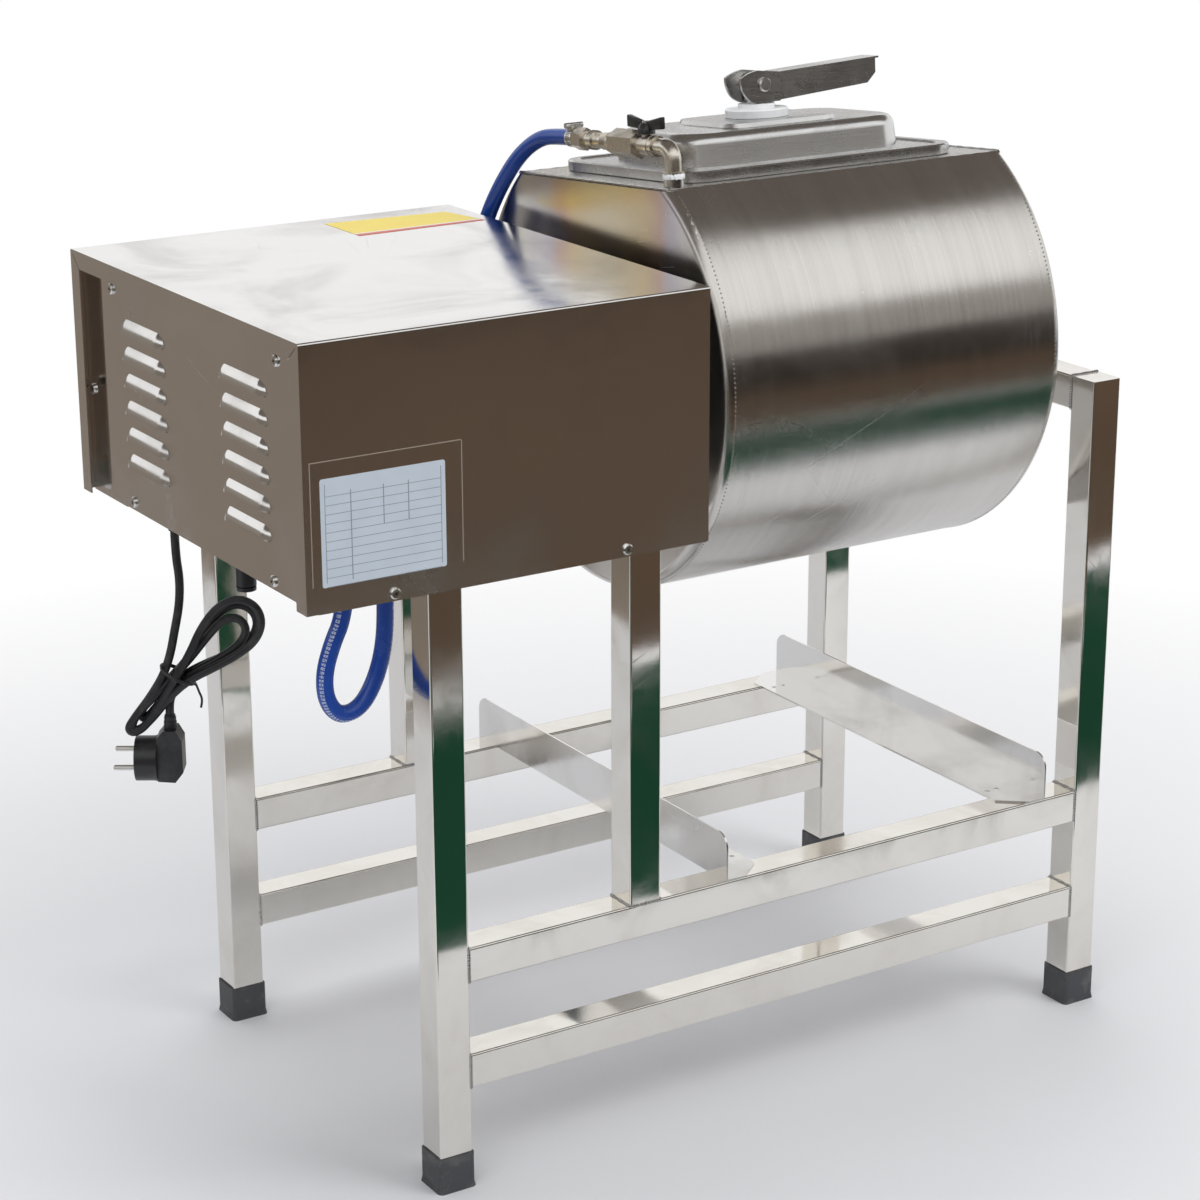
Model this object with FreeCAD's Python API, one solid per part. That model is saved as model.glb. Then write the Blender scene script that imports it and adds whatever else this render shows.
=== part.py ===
import FreeCAD, Part
import math
import os
from FreeCAD import Placement, Rotation, Vector

# Meat vacuum tumbler.  Millimetres, +Z up, floor at Z = 0.
# X runs along the drum axis, from the motor box to the tail bearing.
# Y runs across the stand, from the near side to the control side.

# ---- stand
tube = 30.0                  # square tube of the stand
tube_wall = 1.2
tube_corner = 1.8            # outer corner radius of the tube
stand_length = 694.0
stand_width = 415.0
upper_rail_top = 212.0
lower_rail_top = 118.0
mid_post_offset = 184.0      # from the left faces of the left legs
deck_height = 516.0          # underside of the base pan
beam_rise = 77.0             # top of the tail bearing's beam above the deck
cap_height = 31.0            # rubber foot cap
cap_wall = 1.6
cap_floor = 3.0
cap_lip = 2.7                # how far the foot flares past the tube
cap_lip_height = 5.0

# ---- tray brackets
bracket_leg = 42.0           # flange lying on the rails
bracket_height = 42.0
bracket_sheet = 1.5
bracket_left = 280.5         # left face of the left bracket, from the left legs
bracket_right = 628.5        # right face of the right bracket, from the left legs
bracket_round = 13.0
bracket_chamfer = 24.0
bracket_hole = 5.0

# ---- motor box
cover_length = 363.0
cover_side = 2.0             # how far the cover stands past the stand on each side
cover_overhang = 105.0       # past the left faces of the left legs
cover_lift = 1.0             # lower edge of the cover above the deck
cover_height = 209.0
sheet = 1.2                  # stainless sheet of the cover and panels
bend = 2.0                   # outer bend radius of the cover
top_flange = 15.0            # flanges round the vent end
near_flange = 17.0
far_flange = 16.0
mitre_slit = 0.8
fit_gap = 0.3                # clearance between parts that are taken off
pan_sheet = 1.5
pan_inset = 11.0             # from the vent end of the cover
pan_flange = 25.0
bulkhead_sheet = 2.5

# ---- vent panel
vent_lift = 7.0              # lower edge of the vent panel above the deck
recess_width = 59.0          # open corner beside the vent panel
louvre_length = 80.0
louvre_height = 11.0
louvre_depth = 5.0
louvre_sheet = 1.0
louvre_pitch = 22.7
louvre_rows = 6
louvre_drop = 40.5           # top of the upper row below the cover's top
louvre_near_edge = 98.0      # near column's centre from the near side of the cover
louvre_far_edge = 79.0       # far column's centre from the far edge of the vent panel
post_width = 44.0            # channel posts behind the vent panel
post_near_edge = 48.5        # centre of the near post from the near side of the cover
post_far_edge = 32.5         # centre of the far post from the far edge of the vent panel
post_sheet = 1.5
post_drop = 12.0

# ---- screws
screw_head = 2.2
screw_head_radius = 4.6
screw_radius = 2.0
screw_length = 7.0
screw_hole = 2.15
upper_screws = (39.5, 20.5)      # from the cover's near side, from the vent panel's far edge
lower_screws = (57.0, 45.0)
vent_screw_edge = 5.2        # upper row below the top flange
side_screws = [-30.0, 180.0]     # from the left faces of the left legs
side_screw_lift = 6.8        # above the deck
corner_screw_edge = 12.1     # from the far side of the cover
corner_screw_lift = 90.7     # above the deck

# ---- drum
drum_radius = 196.6
drum_length = 334.5          # between the seams of the two ends
drum_sheet = 1.5
drum_gap = 34.5              # from the motor box to the left seam
drum_tilt = -4.8             # rest turn of the drum about its axis, degrees
knuckle = 8.0                # rounded edge of each end
end_skirt = 9.0              # how far an end reaches inside the shell
flat_height = 156.0          # outer face of the hatch plate above the axis
hatch_length = 236.0
hatch_width = 156.0
hatch_corner = 22.0
frame_width = 10.0           # stiffening frame round the hatch
frame_sheet = 3.0
rib_height = 20.0
rib_foot = 14.0
rib_angles = [95.0, 180.0, 265.0]
rib_clear = 12.0

# ---- shafts and bearings
drive_shaft_radius = 12.5
tail_shaft_radius = 8.5
hub_radius = 48.0
hub_thick = 5.0
bearing_height = 25.4        # tail shaft above the beam
insert_radius = 20.0
insert_width = 16.0
running_gap = 0.05
tail_block_width = 24.0
tail_block_length = 86.0
tail_bolt_spacing = 68.0
bolt_radius = 4.0
bolt_head = 5.5
flange_bearing_depth = 22.0
flange_bolt_spacing = 90.0

# ---- drive
coupling_radius = 19.0
coupling_length = 44.0
output_radius = 7.5
gearbox_size = 90.0
gearbox_length = 60.0
gearbox_front = 160.0        # mounting face, from the left legs
boss_radius = 18.0
motor_radius = 43.0
motor_length = 118.0
motor_fins = 9
motor_drop = 15.0            # motor centre below the output shaft
bracket_plate = 4.0

# ---- lid
lid_length = 288.0
lid_width = 206.0
lid_corner = 28.0
lid_sheet = 1.2
rim_bottom = 1.0             # above the hatch plate
rim_height = 7.0
bead_width = 10.0
bead_rise = 1.5
dome_length = 236.0
dome_width = 136.0
dome_corner = 36.0
dome_height = 35.5           # above the hatch plate
dome_draft = 3.0
dome_round = 10.0
panel_length = 116.0
panel_width = 96.0
panel_corner = 18.0
panel_rise = 3.5
gasket_width = 10.0

# ---- lid clamp
washer_radius = 27.5
washer_thick = 7.3
washer_boss_radius = 16.0
washer_boss = 4.0
stud_radius = 6.0
stud_gap = 0.3
stud_nut = 17.0              # across flats
pivot_height = 16.3          # lever pivot above the washer boss
cam_base = 15.2
cam_lift = 8.5               # how far a full throw of the lever draws the bar
cam_end = 105.0              # degrees of spiral
cheek_front = 17.0
cheek_sheet = 3.0
lever_gap = 20.0             # between the cheeks
lever_sheet = 2.0
lever_length = 122.0
stud_head = 16.0
pin_radius = 4.0
bar_length = 200.0
bar_width = 26.0
bar_height = 10.0
bar_sheet = 2.5

# ---- vacuum valve on the drum
valve_x_in = 6.5             # from the left seam of the drum
valve_y = -109.3
valve_axis = 32.5            # above the hatch plate
socket_radius = 8.5
socket_height = 8.0
pipe_radius = 7.0
elbow_bend = 10.0
elbow_end = -82.0
body_end = -25.0
stem_y = -71.0
hex_flats = 21.0
tail_hex = 17.0
tail_hex_start = 22.0
hose_start = 49.0
clamp_width = 10.0
handle_half = 25.5
handle_low = 197.7            # top of the valve stem
handle_high = 213.0
handle_sheet = 3.0

# ---- controls on the far side
panel_x = 60.0               # centre, from the left end of the box
control_length = 190.0
control_height = 110.0
control_lift = 124.0         # middle of the panel above the deck
control_sheet = 1.5
gauge_radius = 27.0
gauge_proud = 10.0
gauge_depth = 24.0
button_radius = 9.0
button_proud = 4.0
window_length = 56.0
window_height = 24.0
rocker_length = 24.0
rocker_width = 15.0
rocker_pin = 1.2
rocker_depth = 2.0           # pivot behind the panel's face

# ---- cords
cord_diameter = 7.4
hose_diameter = 14.0
hose_hole_gap = 0.5
hank_thick = 22.0
gland_radius = 8.0
gland_length = 18.0
pin_length = 19.0
pin_pitch = 19.0
contact_radius = 2.4

# ---- vacuum pump and control board
pump_offset = 120.0          # from the vent end of the cover
pump_side = 73.0             # from the near edge of the base pan
pump_radius = 31.0
pump_length = 76.0
pump_foot_width = 68.0
pump_head_length = 26.0
pump_head_width = 48.0
pump_head_height = 67.0
pump_port_radius = 4.5
board_offset = 62.0          # from the vent end of the cover
board_side = 133.0           # from the far edge of the base pan
board_length = 120.0
board_width = 80.0
board_lift = 8.0
capacitor_radius = 17.0
capacitor_height = 62.0

# ---- places worked out from the sizes
cover_depth = stand_width + 2 * cover_side
cover_bottom = deck_height + cover_lift
cover_top = cover_bottom + cover_height
beam_top = deck_height + beam_rise
control_mid_z = deck_height + control_lift
vent_bottom = deck_height + vent_lift
vent_near_edge = -cover_depth / 2
vent_far_edge = cover_depth / 2 - recess_width
louvre_near = vent_near_edge + louvre_near_edge
louvre_far = vent_far_edge - louvre_far_edge
louvre_top = cover_top - louvre_drop
post_near = vent_near_edge + post_near_edge
post_far = vent_far_edge - post_far_edge
post_top = cover_top - post_drop
side_screw_height = deck_height + side_screw_lift
corner_screw = (cover_depth / 2 - corner_screw_edge, deck_height + corner_screw_lift)
louvre_reach = louvre_depth - sheet - fit_gap
left_x = -(stand_length + cap_lip - cover_overhang - louvre_reach) / 2
front_reach = cover_depth / 2 + screw_head
rear_reach = cover_depth / 2 + gauge_proud
axis_y = (front_reach - rear_reach) / 2
axis_z = beam_top + bearing_height
box_left = left_x - cover_overhang
box_right = box_left + cover_length
seam_left = box_right + drum_gap
seam_right = seam_left + drum_length
face_left = seam_left - knuckle
face_right = seam_right + knuckle
drum_mid = (seam_left + seam_right) / 2
right_x = left_x + stand_length - tube
near_y = axis_y - stand_width / 2
far_y = axis_y + stand_width / 2
pan_left = box_left + pan_inset
pan_right = box_right - bulkhead_sheet
pan_half = cover_depth / 2 - sheet - fit_gap
pan_top = deck_height + pan_sheet
vent_x = box_left + sheet + fit_gap
post_x = vent_x + sheet
block_x = right_x + tube / 2
bearing_x = pan_right - flange_bearing_depth / 2
shaft_meet = left_x + gearbox_front + 38.0
washer_z = flat_height + dome_height + panel_rise + fit_gap
boss_top = washer_z + washer_thick + washer_boss
pivot_z = boss_top + pivot_height
frame_under = flat_height - drum_sheet - frame_sheet
bar_top = frame_under - fit_gap - cam_lift
valve_x = seam_left + valve_x_in
valve_z = flat_height + valve_axis
drum_place = Placement(Vector(0, axis_y, axis_z), Rotation(Vector(1, 0, 0), drum_tilt))
X, Y, Z = Vector(1, 0, 0), Vector(0, 1, 0), Vector(0, 0, 1)


# ---- shapes that several pieces use

def box(x0, x1, y0, y1, z0, z1):
    return Part.makeBox(x1 - x0, y1 - y0, z1 - z0, Vector(x0, y0, z0))


def rod(radius, start, direction, length):
    return Part.makeCylinder(radius, length, Vector(*start), direction)


def fuse(pieces):
    joined = pieces[0].fuse(pieces[1:]) if len(pieces) > 1 else pieces[0]
    return joined.removeSplitter()


def rounded_wire(mid_x, mid_y, z, length, width, radius):
    """Rounded rectangle in a plane of constant Z."""
    a, b = length / 2 - radius, width / 2 - radius
    k = radius * math.sqrt(0.5)
    edges = []
    for sx, sy, along in ((1, 1, 1), (-1, 1, 0), (-1, -1, 1), (1, -1, 0)):
        cx, cy = mid_x + sx * a, mid_y + sy * b
        side, top = Vector(cx + sx * radius, cy, z), Vector(cx, cy + sy * radius, z)
        ends = (side, top) if along else (top, side)
        edges.append(Part.Arc(ends[0], Vector(cx + sx * k, cy + sy * k, z), ends[1]).toShape())
    loop = []
    for i, arc in enumerate(edges):
        follow = edges[(i + 1) % 4]
        loop += [arc, Part.makeLine(arc.Vertexes[-1].Point, follow.Vertexes[0].Point)]
    return Part.Wire(loop)


def rounded_block(mid_x, mid_y, z0, z1, length, width, radius):
    face = Part.Face(rounded_wire(mid_x, mid_y, z0, length, width, radius))
    return face.extrude(Vector(0, 0, z1 - z0))


def hexagon(flats, start, direction, length):
    """Hexagonal prism; start is the centre of its first face."""
    ring = [Vector(flats / math.sqrt(3) * math.cos(math.radians(60 * i + 30)),
                   flats / math.sqrt(3) * math.sin(math.radians(60 * i + 30)), 0) for i in range(7)]
    prism = Part.Face(Part.makePolygon(ring)).extrude(Vector(0, 0, length))
    prism.Placement = Placement(Vector(*start), Rotation(Z, direction))
    return prism


def outline(points, thickness):
    """Flat plate whose outline is the closed chain of points."""
    return Part.Face(Part.makePolygon(points + [points[0]])).extrude(thickness)


def square_tube(start, direction, length):
    """Square tube; start is the centre of its first end."""
    bore = tube - 2 * tube_wall
    outer = rounded_block(0, 0, 0, length, tube, tube, tube_corner)
    inner = rounded_block(0, 0, 0, length, bore, bore, tube_corner - tube_wall)
    pipe = outer.cut(inner)
    pipe.Placement = Placement(Vector(*start), Rotation(Z, direction))
    return pipe


def screw(start, direction):
    """Pan head screw; start is on the surface, direction points outwards."""
    head = rod(screw_head_radius, start, direction, screw_head)
    rim = [e for e in head.Edges if (e.CenterOfMass - Vector(*start)).dot(direction) > screw_head * 0.9]
    head = head.makeChamfer(screw_head * 0.45, rim)
    return head.fuse(rod(screw_radius, start, direction * -1, screw_length)).removeSplitter()


def in_drum(shape):
    """Move a shape drawn about the drum axis to where the drum stands at rest."""
    shape = shape.copy()
    shape.Placement = drum_place.multiply(shape.Placement)
    return shape


# ---- stand

def legs(x, height):
    mid = tube / 2
    return [square_tube((x + mid, y, cap_floor), Z, height - cap_floor)
            for y in (near_y + mid, far_y - mid)]


def rails(top):
    start, length = left_x + tube, stand_length - 2 * tube
    return [square_tube((start, y, top - tube / 2), X, length)
            for y in (near_y + tube / 2, far_y - tube / 2)]


def mid_posts():
    x = left_x + mid_post_offset + tube / 2
    return [square_tube((x, y, upper_rail_top), Z, deck_height - upper_rail_top)
            for y in (near_y + tube / 2, far_y - tube / 2)]


def right_legs():
    caps = [box(right_x + tube_wall, right_x + tube - tube_wall, y + tube_wall, y + tube - tube_wall,
                beam_top - tube_wall, beam_top) for y in (near_y, far_y - tube)]
    return [fuse([leg, cap]) for leg, cap in zip(legs(right_x, beam_top), caps)]


def bearing_beam():
    beam = square_tube((right_x + tube / 2, near_y + tube, beam_top - tube / 2), Y, stand_width - 2 * tube)
    for side in (-1, 1):
        at = (block_x, axis_y + side * tail_bolt_spacing / 2, beam_top - tube / 2)
        beam = beam.cut(rod(bolt_radius + running_gap, at, Z, tube))
    return beam


def foot_caps():
    caps = []
    wide = tube + 2 * cap_wall
    for x in (left_x, right_x):
        for y in (near_y, far_y - tube):
            mx, my = x + tube / 2, y + tube / 2
            cup = rounded_block(mx, my, 0, cap_height, wide, wide, cap_wall + tube_corner)
            lip = Part.makeLoft([
                rounded_wire(mx, my, 0, tube + 2 * cap_lip, tube + 2 * cap_lip, cap_lip + tube_corner),
                rounded_wire(mx, my, cap_lip_height, wide, wide, cap_wall + tube_corner)], True, True)
            cavity = rounded_block(mx, my, cap_floor, cap_height + 1, tube, tube, tube_corner)
            caps.append(cup.fuse(lip).cut(cavity).removeSplitter())
    return caps


def tray_bracket(mirror):
    """Angle lying across the upper rails; mirror = 1 for the left one, -1 for the right one."""
    x = left_x + (bracket_left if mirror > 0 else bracket_right)
    z = upper_rail_top
    y0, y1 = near_y, far_y
    top = z + bracket_height
    upright = [Vector(x, y0, z), Vector(x, y1, z), Vector(x, y1, top), Vector(x, y0, top)]
    wall = outline(upright, Vector(mirror * bracket_sheet, 0, 0))
    corners = [e for e in wall.Edges if e.Vertexes[0].Point.z > top - 0.1
               and e.Vertexes[1].Point.z > top - 0.1 and abs(e.tangentAt(e.FirstParameter).x) > 0.9]
    wall = wall.makeFillet(bracket_round, corners)
    reach = x + mirror * bracket_leg
    cut = bracket_chamfer
    shelf = outline([Vector(x, y0, z), Vector(reach - mirror * cut, y0, z), Vector(reach, y0 + cut * 0.8, z),
                     Vector(reach, y1 - cut * 0.8, z), Vector(reach - mirror * cut, y1, z), Vector(x, y1, z)],
                    Vector(0, 0, bracket_sheet))
    angle = wall.fuse(shelf).removeSplitter()
    for place in (bracket_leg * 0.55, bracket_leg * 0.8):
        for y in (y0 + tube * 1.35, y1 - tube * 1.35):
            at = (x + mirror * place, y, z - 1)
            angle = angle.cut(rod(bracket_hole / 2, at, Z, bracket_sheet + 2))
    return angle


# ---- motor box

def base_pan():
    y0, y1 = axis_y - pan_half, axis_y + pan_half
    tray = box(pan_left, pan_right, y0, y1, deck_height, deck_height + pan_flange)
    inside = box(pan_left + pan_sheet, pan_right - pan_sheet, y0 + pan_sheet, y1 - pan_sheet,
                 pan_top, deck_height + pan_flange)
    pan = tray.cut(inside)
    for side in (-1, 1):
        for x in side_screws:
            at = (left_x + x, axis_y + side * (pan_half - screw_length), side_screw_height)
            pan = pan.cut(rod(screw_hole, at, Y * side, screw_length + 1))
    for x, y, radius in pan_holes():
        pan = pan.cut(rod(radius + running_gap, (x, y, deck_height - 1), Z, pan_sheet + 2))
    return pan


def motor_cover():
    y0, y1 = axis_y - cover_depth / 2, axis_y + cover_depth / 2

    def hood(inset):
        block = box(box_left, box_right, y0 + inset, y1 - inset, cover_bottom, cover_top - inset)
        bends = [e for e in block.Edges if abs(e.tangentAt(e.FirstParameter).x) > 0.9
                 and e.Vertexes[0].Point.z > cover_top - inset - 0.1]
        return block.makeFillet(bend - inset, bends)

    cover = hood(0).cut(hood(sheet))
    end = hood(0).common(box(box_left, box_left + sheet, y0, y1, cover_bottom, cover_top))
    mouth = box(box_left - 1, box_left + sheet + 1, y0 + near_flange, y1 - far_flange,
                cover_bottom - 1, cover_top - top_flange)
    cover = cover.fuse(end.cut(mouth)).removeSplitter()
    for y, flange, side in ((y0, near_flange, 1), (y1, far_flange, -1)):
        corner = Vector(box_left - 1, y + side * flange, cover_top - top_flange)
        low = corner + Vector(0, side, -1)
        high = corner + Vector(0, side * (2 * bend - flange), top_flange - 2 * bend)
        slit = Vector(0, 0, mitre_slit)
        cover = cover.cut(outline([low, high, high + slit, low + slit], Vector(sheet + 2, 0, 0)))
    for side in (-1, 1):
        for x in side_screws:
            at = (left_x + x, axis_y + side * (cover_depth / 2 - screw_length), side_screw_height)
            cover = cover.cut(rod(screw_hole, at, Y * side, screw_length + 1))
    mid = control_mid_x()
    window = box(mid - control_length / 2 + 12, mid + control_length / 2 - 12, y1 - sheet - 1, y1 + 1,
                 control_mid_z - control_height / 2 + 12, control_mid_z + control_height / 2 - 12)
    return cover.cut(window)


def vent_screw_places():
    rows = ((lower_screws, vent_bottom + 7), (upper_screws, cover_top - top_flange - vent_screw_edge))
    return [place for (near, far), z in rows
            for place in ((vent_near_edge + near, z), (vent_far_edge - far, z))]


def louvre(mid_y, base_z, offset):
    """Pressed hood, open along its lower edge; offset shrinks it for the inner face."""
    behind = (louvre_height ** 2 - louvre_depth ** 2) / (2 * louvre_depth)
    radius = louvre_depth + behind - offset
    x = vent_x + behind
    half = louvre_length / 2 - louvre_height
    hood = rod(radius, (x, mid_y - half, base_z), Y, 2 * half)
    for end in (-half, half):
        hood = hood.fuse(Part.makeSphere(radius, Vector(x, mid_y + end, base_z)))
    reach = louvre_length
    keep = box(vent_x - louvre_depth - 1, vent_x + (sheet if offset else 0), mid_y - reach, mid_y + reach,
               base_z - (1 if offset else 0), base_z + louvre_height + 2)
    return hood.common(keep)


def vent_panel():
    y0 = axis_y - cover_depth / 2 + sheet + fit_gap + bend
    y1 = axis_y + vent_far_edge
    panel = box(vent_x, vent_x + sheet, y0, y1, vent_bottom, cover_top - sheet - fit_gap)
    for column in (louvre_near, louvre_far):
        for row in range(louvre_rows):
            z = louvre_top - louvre_height - row * louvre_pitch
            hood = louvre(axis_y + column, z, 0)
            hollow = louvre(axis_y + column, z, louvre_sheet)
            panel = panel.fuse(hood).cut(hollow)
    for y, z in vent_screw_places():
        panel = panel.cut(rod(screw_hole, (vent_x - 1, axis_y + y, z), X, sheet + 2))
    return panel.removeSplitter()


def corner_panel():
    """Set-back strip that closes the far corner beside the vent panel, with a leg along the far wall."""
    y1 = axis_y + cover_depth / 2 - sheet - fit_gap
    top = cover_top - sheet - fit_gap
    strip = box(pan_left - sheet, pan_left, axis_y + post_far + post_width / 2 + fit_gap, y1,
                deck_height, top)
    leg = box(pan_left, pan_left + far_flange, y1 - sheet, y1, deck_height + pan_flange + fit_gap, top)
    hole = rod(screw_hole, (pan_left - sheet - 1, axis_y + corner_screw[0], corner_screw[1]), X, sheet + 2)
    return strip.fuse(leg).cut(hole).removeSplitter()


def end_posts():
    posts = []
    for mid in (post_near, post_far):
        y0, y1 = axis_y + mid - post_width / 2, axis_y + mid + post_width / 2
        channel = box(post_x, pan_left, y0, y1, vent_bottom + 2, post_top)
        inside = box(post_x + post_sheet, pan_left + 1, y0 + post_sheet, y1 - post_sheet,
                     vent_bottom + 1, post_top + 1)
        post = channel.cut(inside)
        for y, z in vent_screw_places():
            post = post.cut(rod(screw_hole, (post_x - 1, axis_y + y, z), X, post_sheet + 2))
        posts.append(post)
    y, z = corner_screw
    strap = box(pan_left, pan_left + pan_sheet, axis_y + y - 12, axis_y + y + 7,
                deck_height + pan_flange, post_top)
    posts.append(strap.cut(rod(screw_hole, (pan_left - 1, axis_y + y, z), X, pan_sheet + 2)))
    return posts


def bulkhead():
    y = cover_depth / 2 - sheet - fit_gap
    plate = box(pan_right, box_right, axis_y - y, axis_y + y, deck_height, cover_top - sheet - fit_gap)
    corners = [e for e in plate.Edges if abs(e.tangentAt(e.FirstParameter).x) > 0.9
               and e.Vertexes[0].Point.z > cover_top - 5]
    plate = plate.makeFillet(bend, corners)
    plate = plate.cut(rod(drive_shaft_radius + 3.5, (pan_right - 1, axis_y, axis_z), X, bulkhead_sheet + 2))
    for side in (-1, 1):
        at = (pan_right - 1, axis_y + side * flange_bolt_spacing / 2, axis_z)
        plate = plate.cut(rod(bolt_radius + running_gap, at, X, bulkhead_sheet + 2))
    return plate


def cover_screws():
    screws = [screw((vent_x, axis_y + y, z), X * -1) for y, z in vent_screw_places()]
    for side in (-1, 1):
        screws += [screw((left_x + x, axis_y + side * cover_depth / 2, side_screw_height), Y * side)
                   for x in side_screws]
    y, z = corner_screw
    screws.append(screw((pan_left - sheet, axis_y + y, z), X * -1))
    return screws


# ---- drive

def drive_bearing_housing():
    """Two-bolt flange bearing on the inner face of the bulkhead."""
    boss = rod(insert_radius + 8, (pan_right - flange_bearing_depth, axis_y, axis_z), X, flange_bearing_depth)
    ears = rod(insert_radius + 6, (pan_right - 9, axis_y, axis_z), X, 9)
    flange = [ears]
    for side in (-1, 1):
        flange.append(rod(11, (pan_right - 9, axis_y + side * flange_bolt_spacing / 2, axis_z), X, 9))
    flange.append(box(pan_right - 9, pan_right, axis_y - flange_bolt_spacing / 2,
                      axis_y + flange_bolt_spacing / 2, axis_z - 11, axis_z + 11))
    housing = fuse([boss] + flange)
    housing = housing.cut(rod(insert_radius + running_gap, (pan_right - 60, axis_y, axis_z), X, 80))
    for side in (-1, 1):
        at = (pan_right - 10, axis_y + side * flange_bolt_spacing / 2, axis_z)
        housing = housing.cut(rod(bolt_radius + running_gap, at, X, 12))
    return housing


def tail_bearing_housing():
    """Pillow block on the beam."""
    x0, x1 = block_x - tail_block_width / 2, block_x + tail_block_width / 2
    foot = rounded_block(block_x, axis_y, beam_top, beam_top + 9, tail_block_width, tail_block_length, 6)
    head = rod(insert_radius + 5, (x0 + 2, axis_y, axis_z), X, tail_block_width - 4)
    neck = box(x0 + 2, x1 - 2, axis_y - insert_radius - 5, axis_y + insert_radius + 5, beam_top, axis_z)
    block = fuse([foot, head, neck])
    block = block.cut(rod(insert_radius + running_gap, (x0 - 1, axis_y, axis_z), X, tail_block_width + 2))
    for side in (-1, 1):
        at = (block_x, axis_y + side * tail_bolt_spacing / 2, beam_top - 1)
        block = block.cut(rod(bolt_radius + running_gap, at, Z, 12))
    return block


def bearing_inserts():
    """Inner rings with their locking collars, one on each shaft."""
    rings = []
    for x, bore, out in ((bearing_x, drive_shaft_radius, -1), (block_x, tail_shaft_radius, 1)):
        ring = rod(insert_radius, (x - insert_width / 2, axis_y, axis_z), X, insert_width)
        collar = rod(bore + 5, (x + out * insert_width / 2, axis_y, axis_z), X * out, 6)
        ring = ring.fuse(collar).cut(rod(bore, (x - 30, axis_y, axis_z), X, 60))
        rings.append(ring.removeSplitter())
    return rings


def bearing_bolts():
    bolts = []
    for side in (-1, 1):
        y = axis_y + side * tail_bolt_spacing / 2
        bolts.append(fuse([hexagon(13, (block_x, y, beam_top + 9), Z, bolt_head),
                           rod(bolt_radius, (block_x, y, beam_top - 12), Z, 21)]))
        y = axis_y + side * flange_bolt_spacing / 2
        bolts.append(fuse([hexagon(13, (box_right, y, axis_z), X, bolt_head),
                           rod(bolt_radius, (box_right, y, axis_z), X * -1, bulkhead_sheet + 9),
                           hexagon(13, (pan_right - 9, y, axis_z), X * -1, bolt_head + 1)]))
    return bolts


def hub(face, out, radius, length):
    """Welded hub plate with its shaft; out is the outward direction along X."""
    plate = rod(hub_radius, (face, axis_y, axis_z), X * out, hub_thick)
    collar = rod(radius + 7, (face + out * hub_thick, axis_y, axis_z), X * out, 7)
    shaft = rod(radius, (face, axis_y, axis_z), X * out, length)
    return fuse([plate, collar, shaft])


def shaft_coupling():
    start = shaft_meet - coupling_length / 2
    sleeve = rod(coupling_radius, (start, axis_y, axis_z), X, coupling_length)
    sleeve = sleeve.cut(rod(output_radius, (start - 1, axis_y, axis_z), X, coupling_length / 2 + 1))
    sleeve = sleeve.cut(rod(drive_shaft_radius, (shaft_meet, axis_y, axis_z), X, coupling_length))
    for x in (start + 9, start + coupling_length - 9):
        sleeve = sleeve.cut(rod(3, (x, axis_y, axis_z + output_radius + 1), Z, coupling_radius))
    return sleeve


def output_shaft():
    start = left_x + gearbox_front - 25
    return rod(output_radius, (start, axis_y, axis_z), X, shaft_meet - start)


def gearbox():
    """Square helical gear head; its output boss is on the drum axis."""
    x1 = left_x + gearbox_front
    x0 = x1 - gearbox_length
    mid = axis_z - motor_drop
    half = gearbox_size / 2
    body = box(x0, x1, axis_y - half, axis_y + half, mid - half, mid + half)
    upright = [e for e in body.Edges if abs(e.tangentAt(e.FirstParameter).x) > 0.9]
    body = body.makeFillet(9, upright)
    core = box(x0, x1, axis_y - half + 3, axis_y + half - 3, mid - half + 3, mid + half - 3)
    groove = body.cut(core)
    for step in (0.35, 0.7):
        x = x0 + step * gearbox_length
        body = body.cut(groove.common(box(x, x + 3, axis_y - half - 1, axis_y + half + 1,
                                          mid - half - 1, mid + half + 1)))
    boss = rod(boss_radius, (x1, axis_y, axis_z), X, bracket_plate + 3)
    body = body.fuse(boss).removeSplitter()
    return body.cut(rod(output_radius + running_gap, (x1 - 26, axis_y, axis_z), X, 60))


def drive_motor():
    """Induction motor with cooling fins and a fan cowl."""
    x1 = left_x + gearbox_front - gearbox_length
    x0 = x1 - motor_length
    mid = axis_z - motor_drop
    can = rod(motor_radius - 3, (x0, axis_y, mid), X, motor_length)
    rings = [rod(motor_radius, (x1 - 8, axis_y, mid), X, 8), rod(motor_radius, (x0, axis_y, mid), X, 26)]
    fins = [rod(motor_radius - 0.5, (x1 - 16 - 7 * i, axis_y, mid), X, 3) for i in range(motor_fins)]
    return fuse([can] + rings + fins)


def gearbox_bracket():
    """Angle that holds the gear head by its face and stands on the base pan."""
    x0 = left_x + gearbox_front
    half = gearbox_size / 2 + 12
    top = axis_z - motor_drop + gearbox_size / 2 + 2
    plate = box(x0, x0 + bracket_plate, axis_y - half, axis_y + half, pan_top, top)
    foot = box(x0, x0 + 52, axis_y - half, axis_y + half, pan_top, pan_top + bracket_plate)
    parts = [plate, foot]
    for side in (-1, 1):
        y = axis_y + side * (half - bracket_plate / 2) - bracket_plate / 2
        web = outline([Vector(x0, y, pan_top), Vector(x0 + 46, y, pan_top), Vector(x0, y, pan_top + 60)],
                      Vector(0, bracket_plate, 0))
        parts.append(web)
    return fuse(parts).cut(rod(boss_radius + running_gap, (x0 - 1, axis_y, axis_z), X, bracket_plate + 2))


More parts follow.
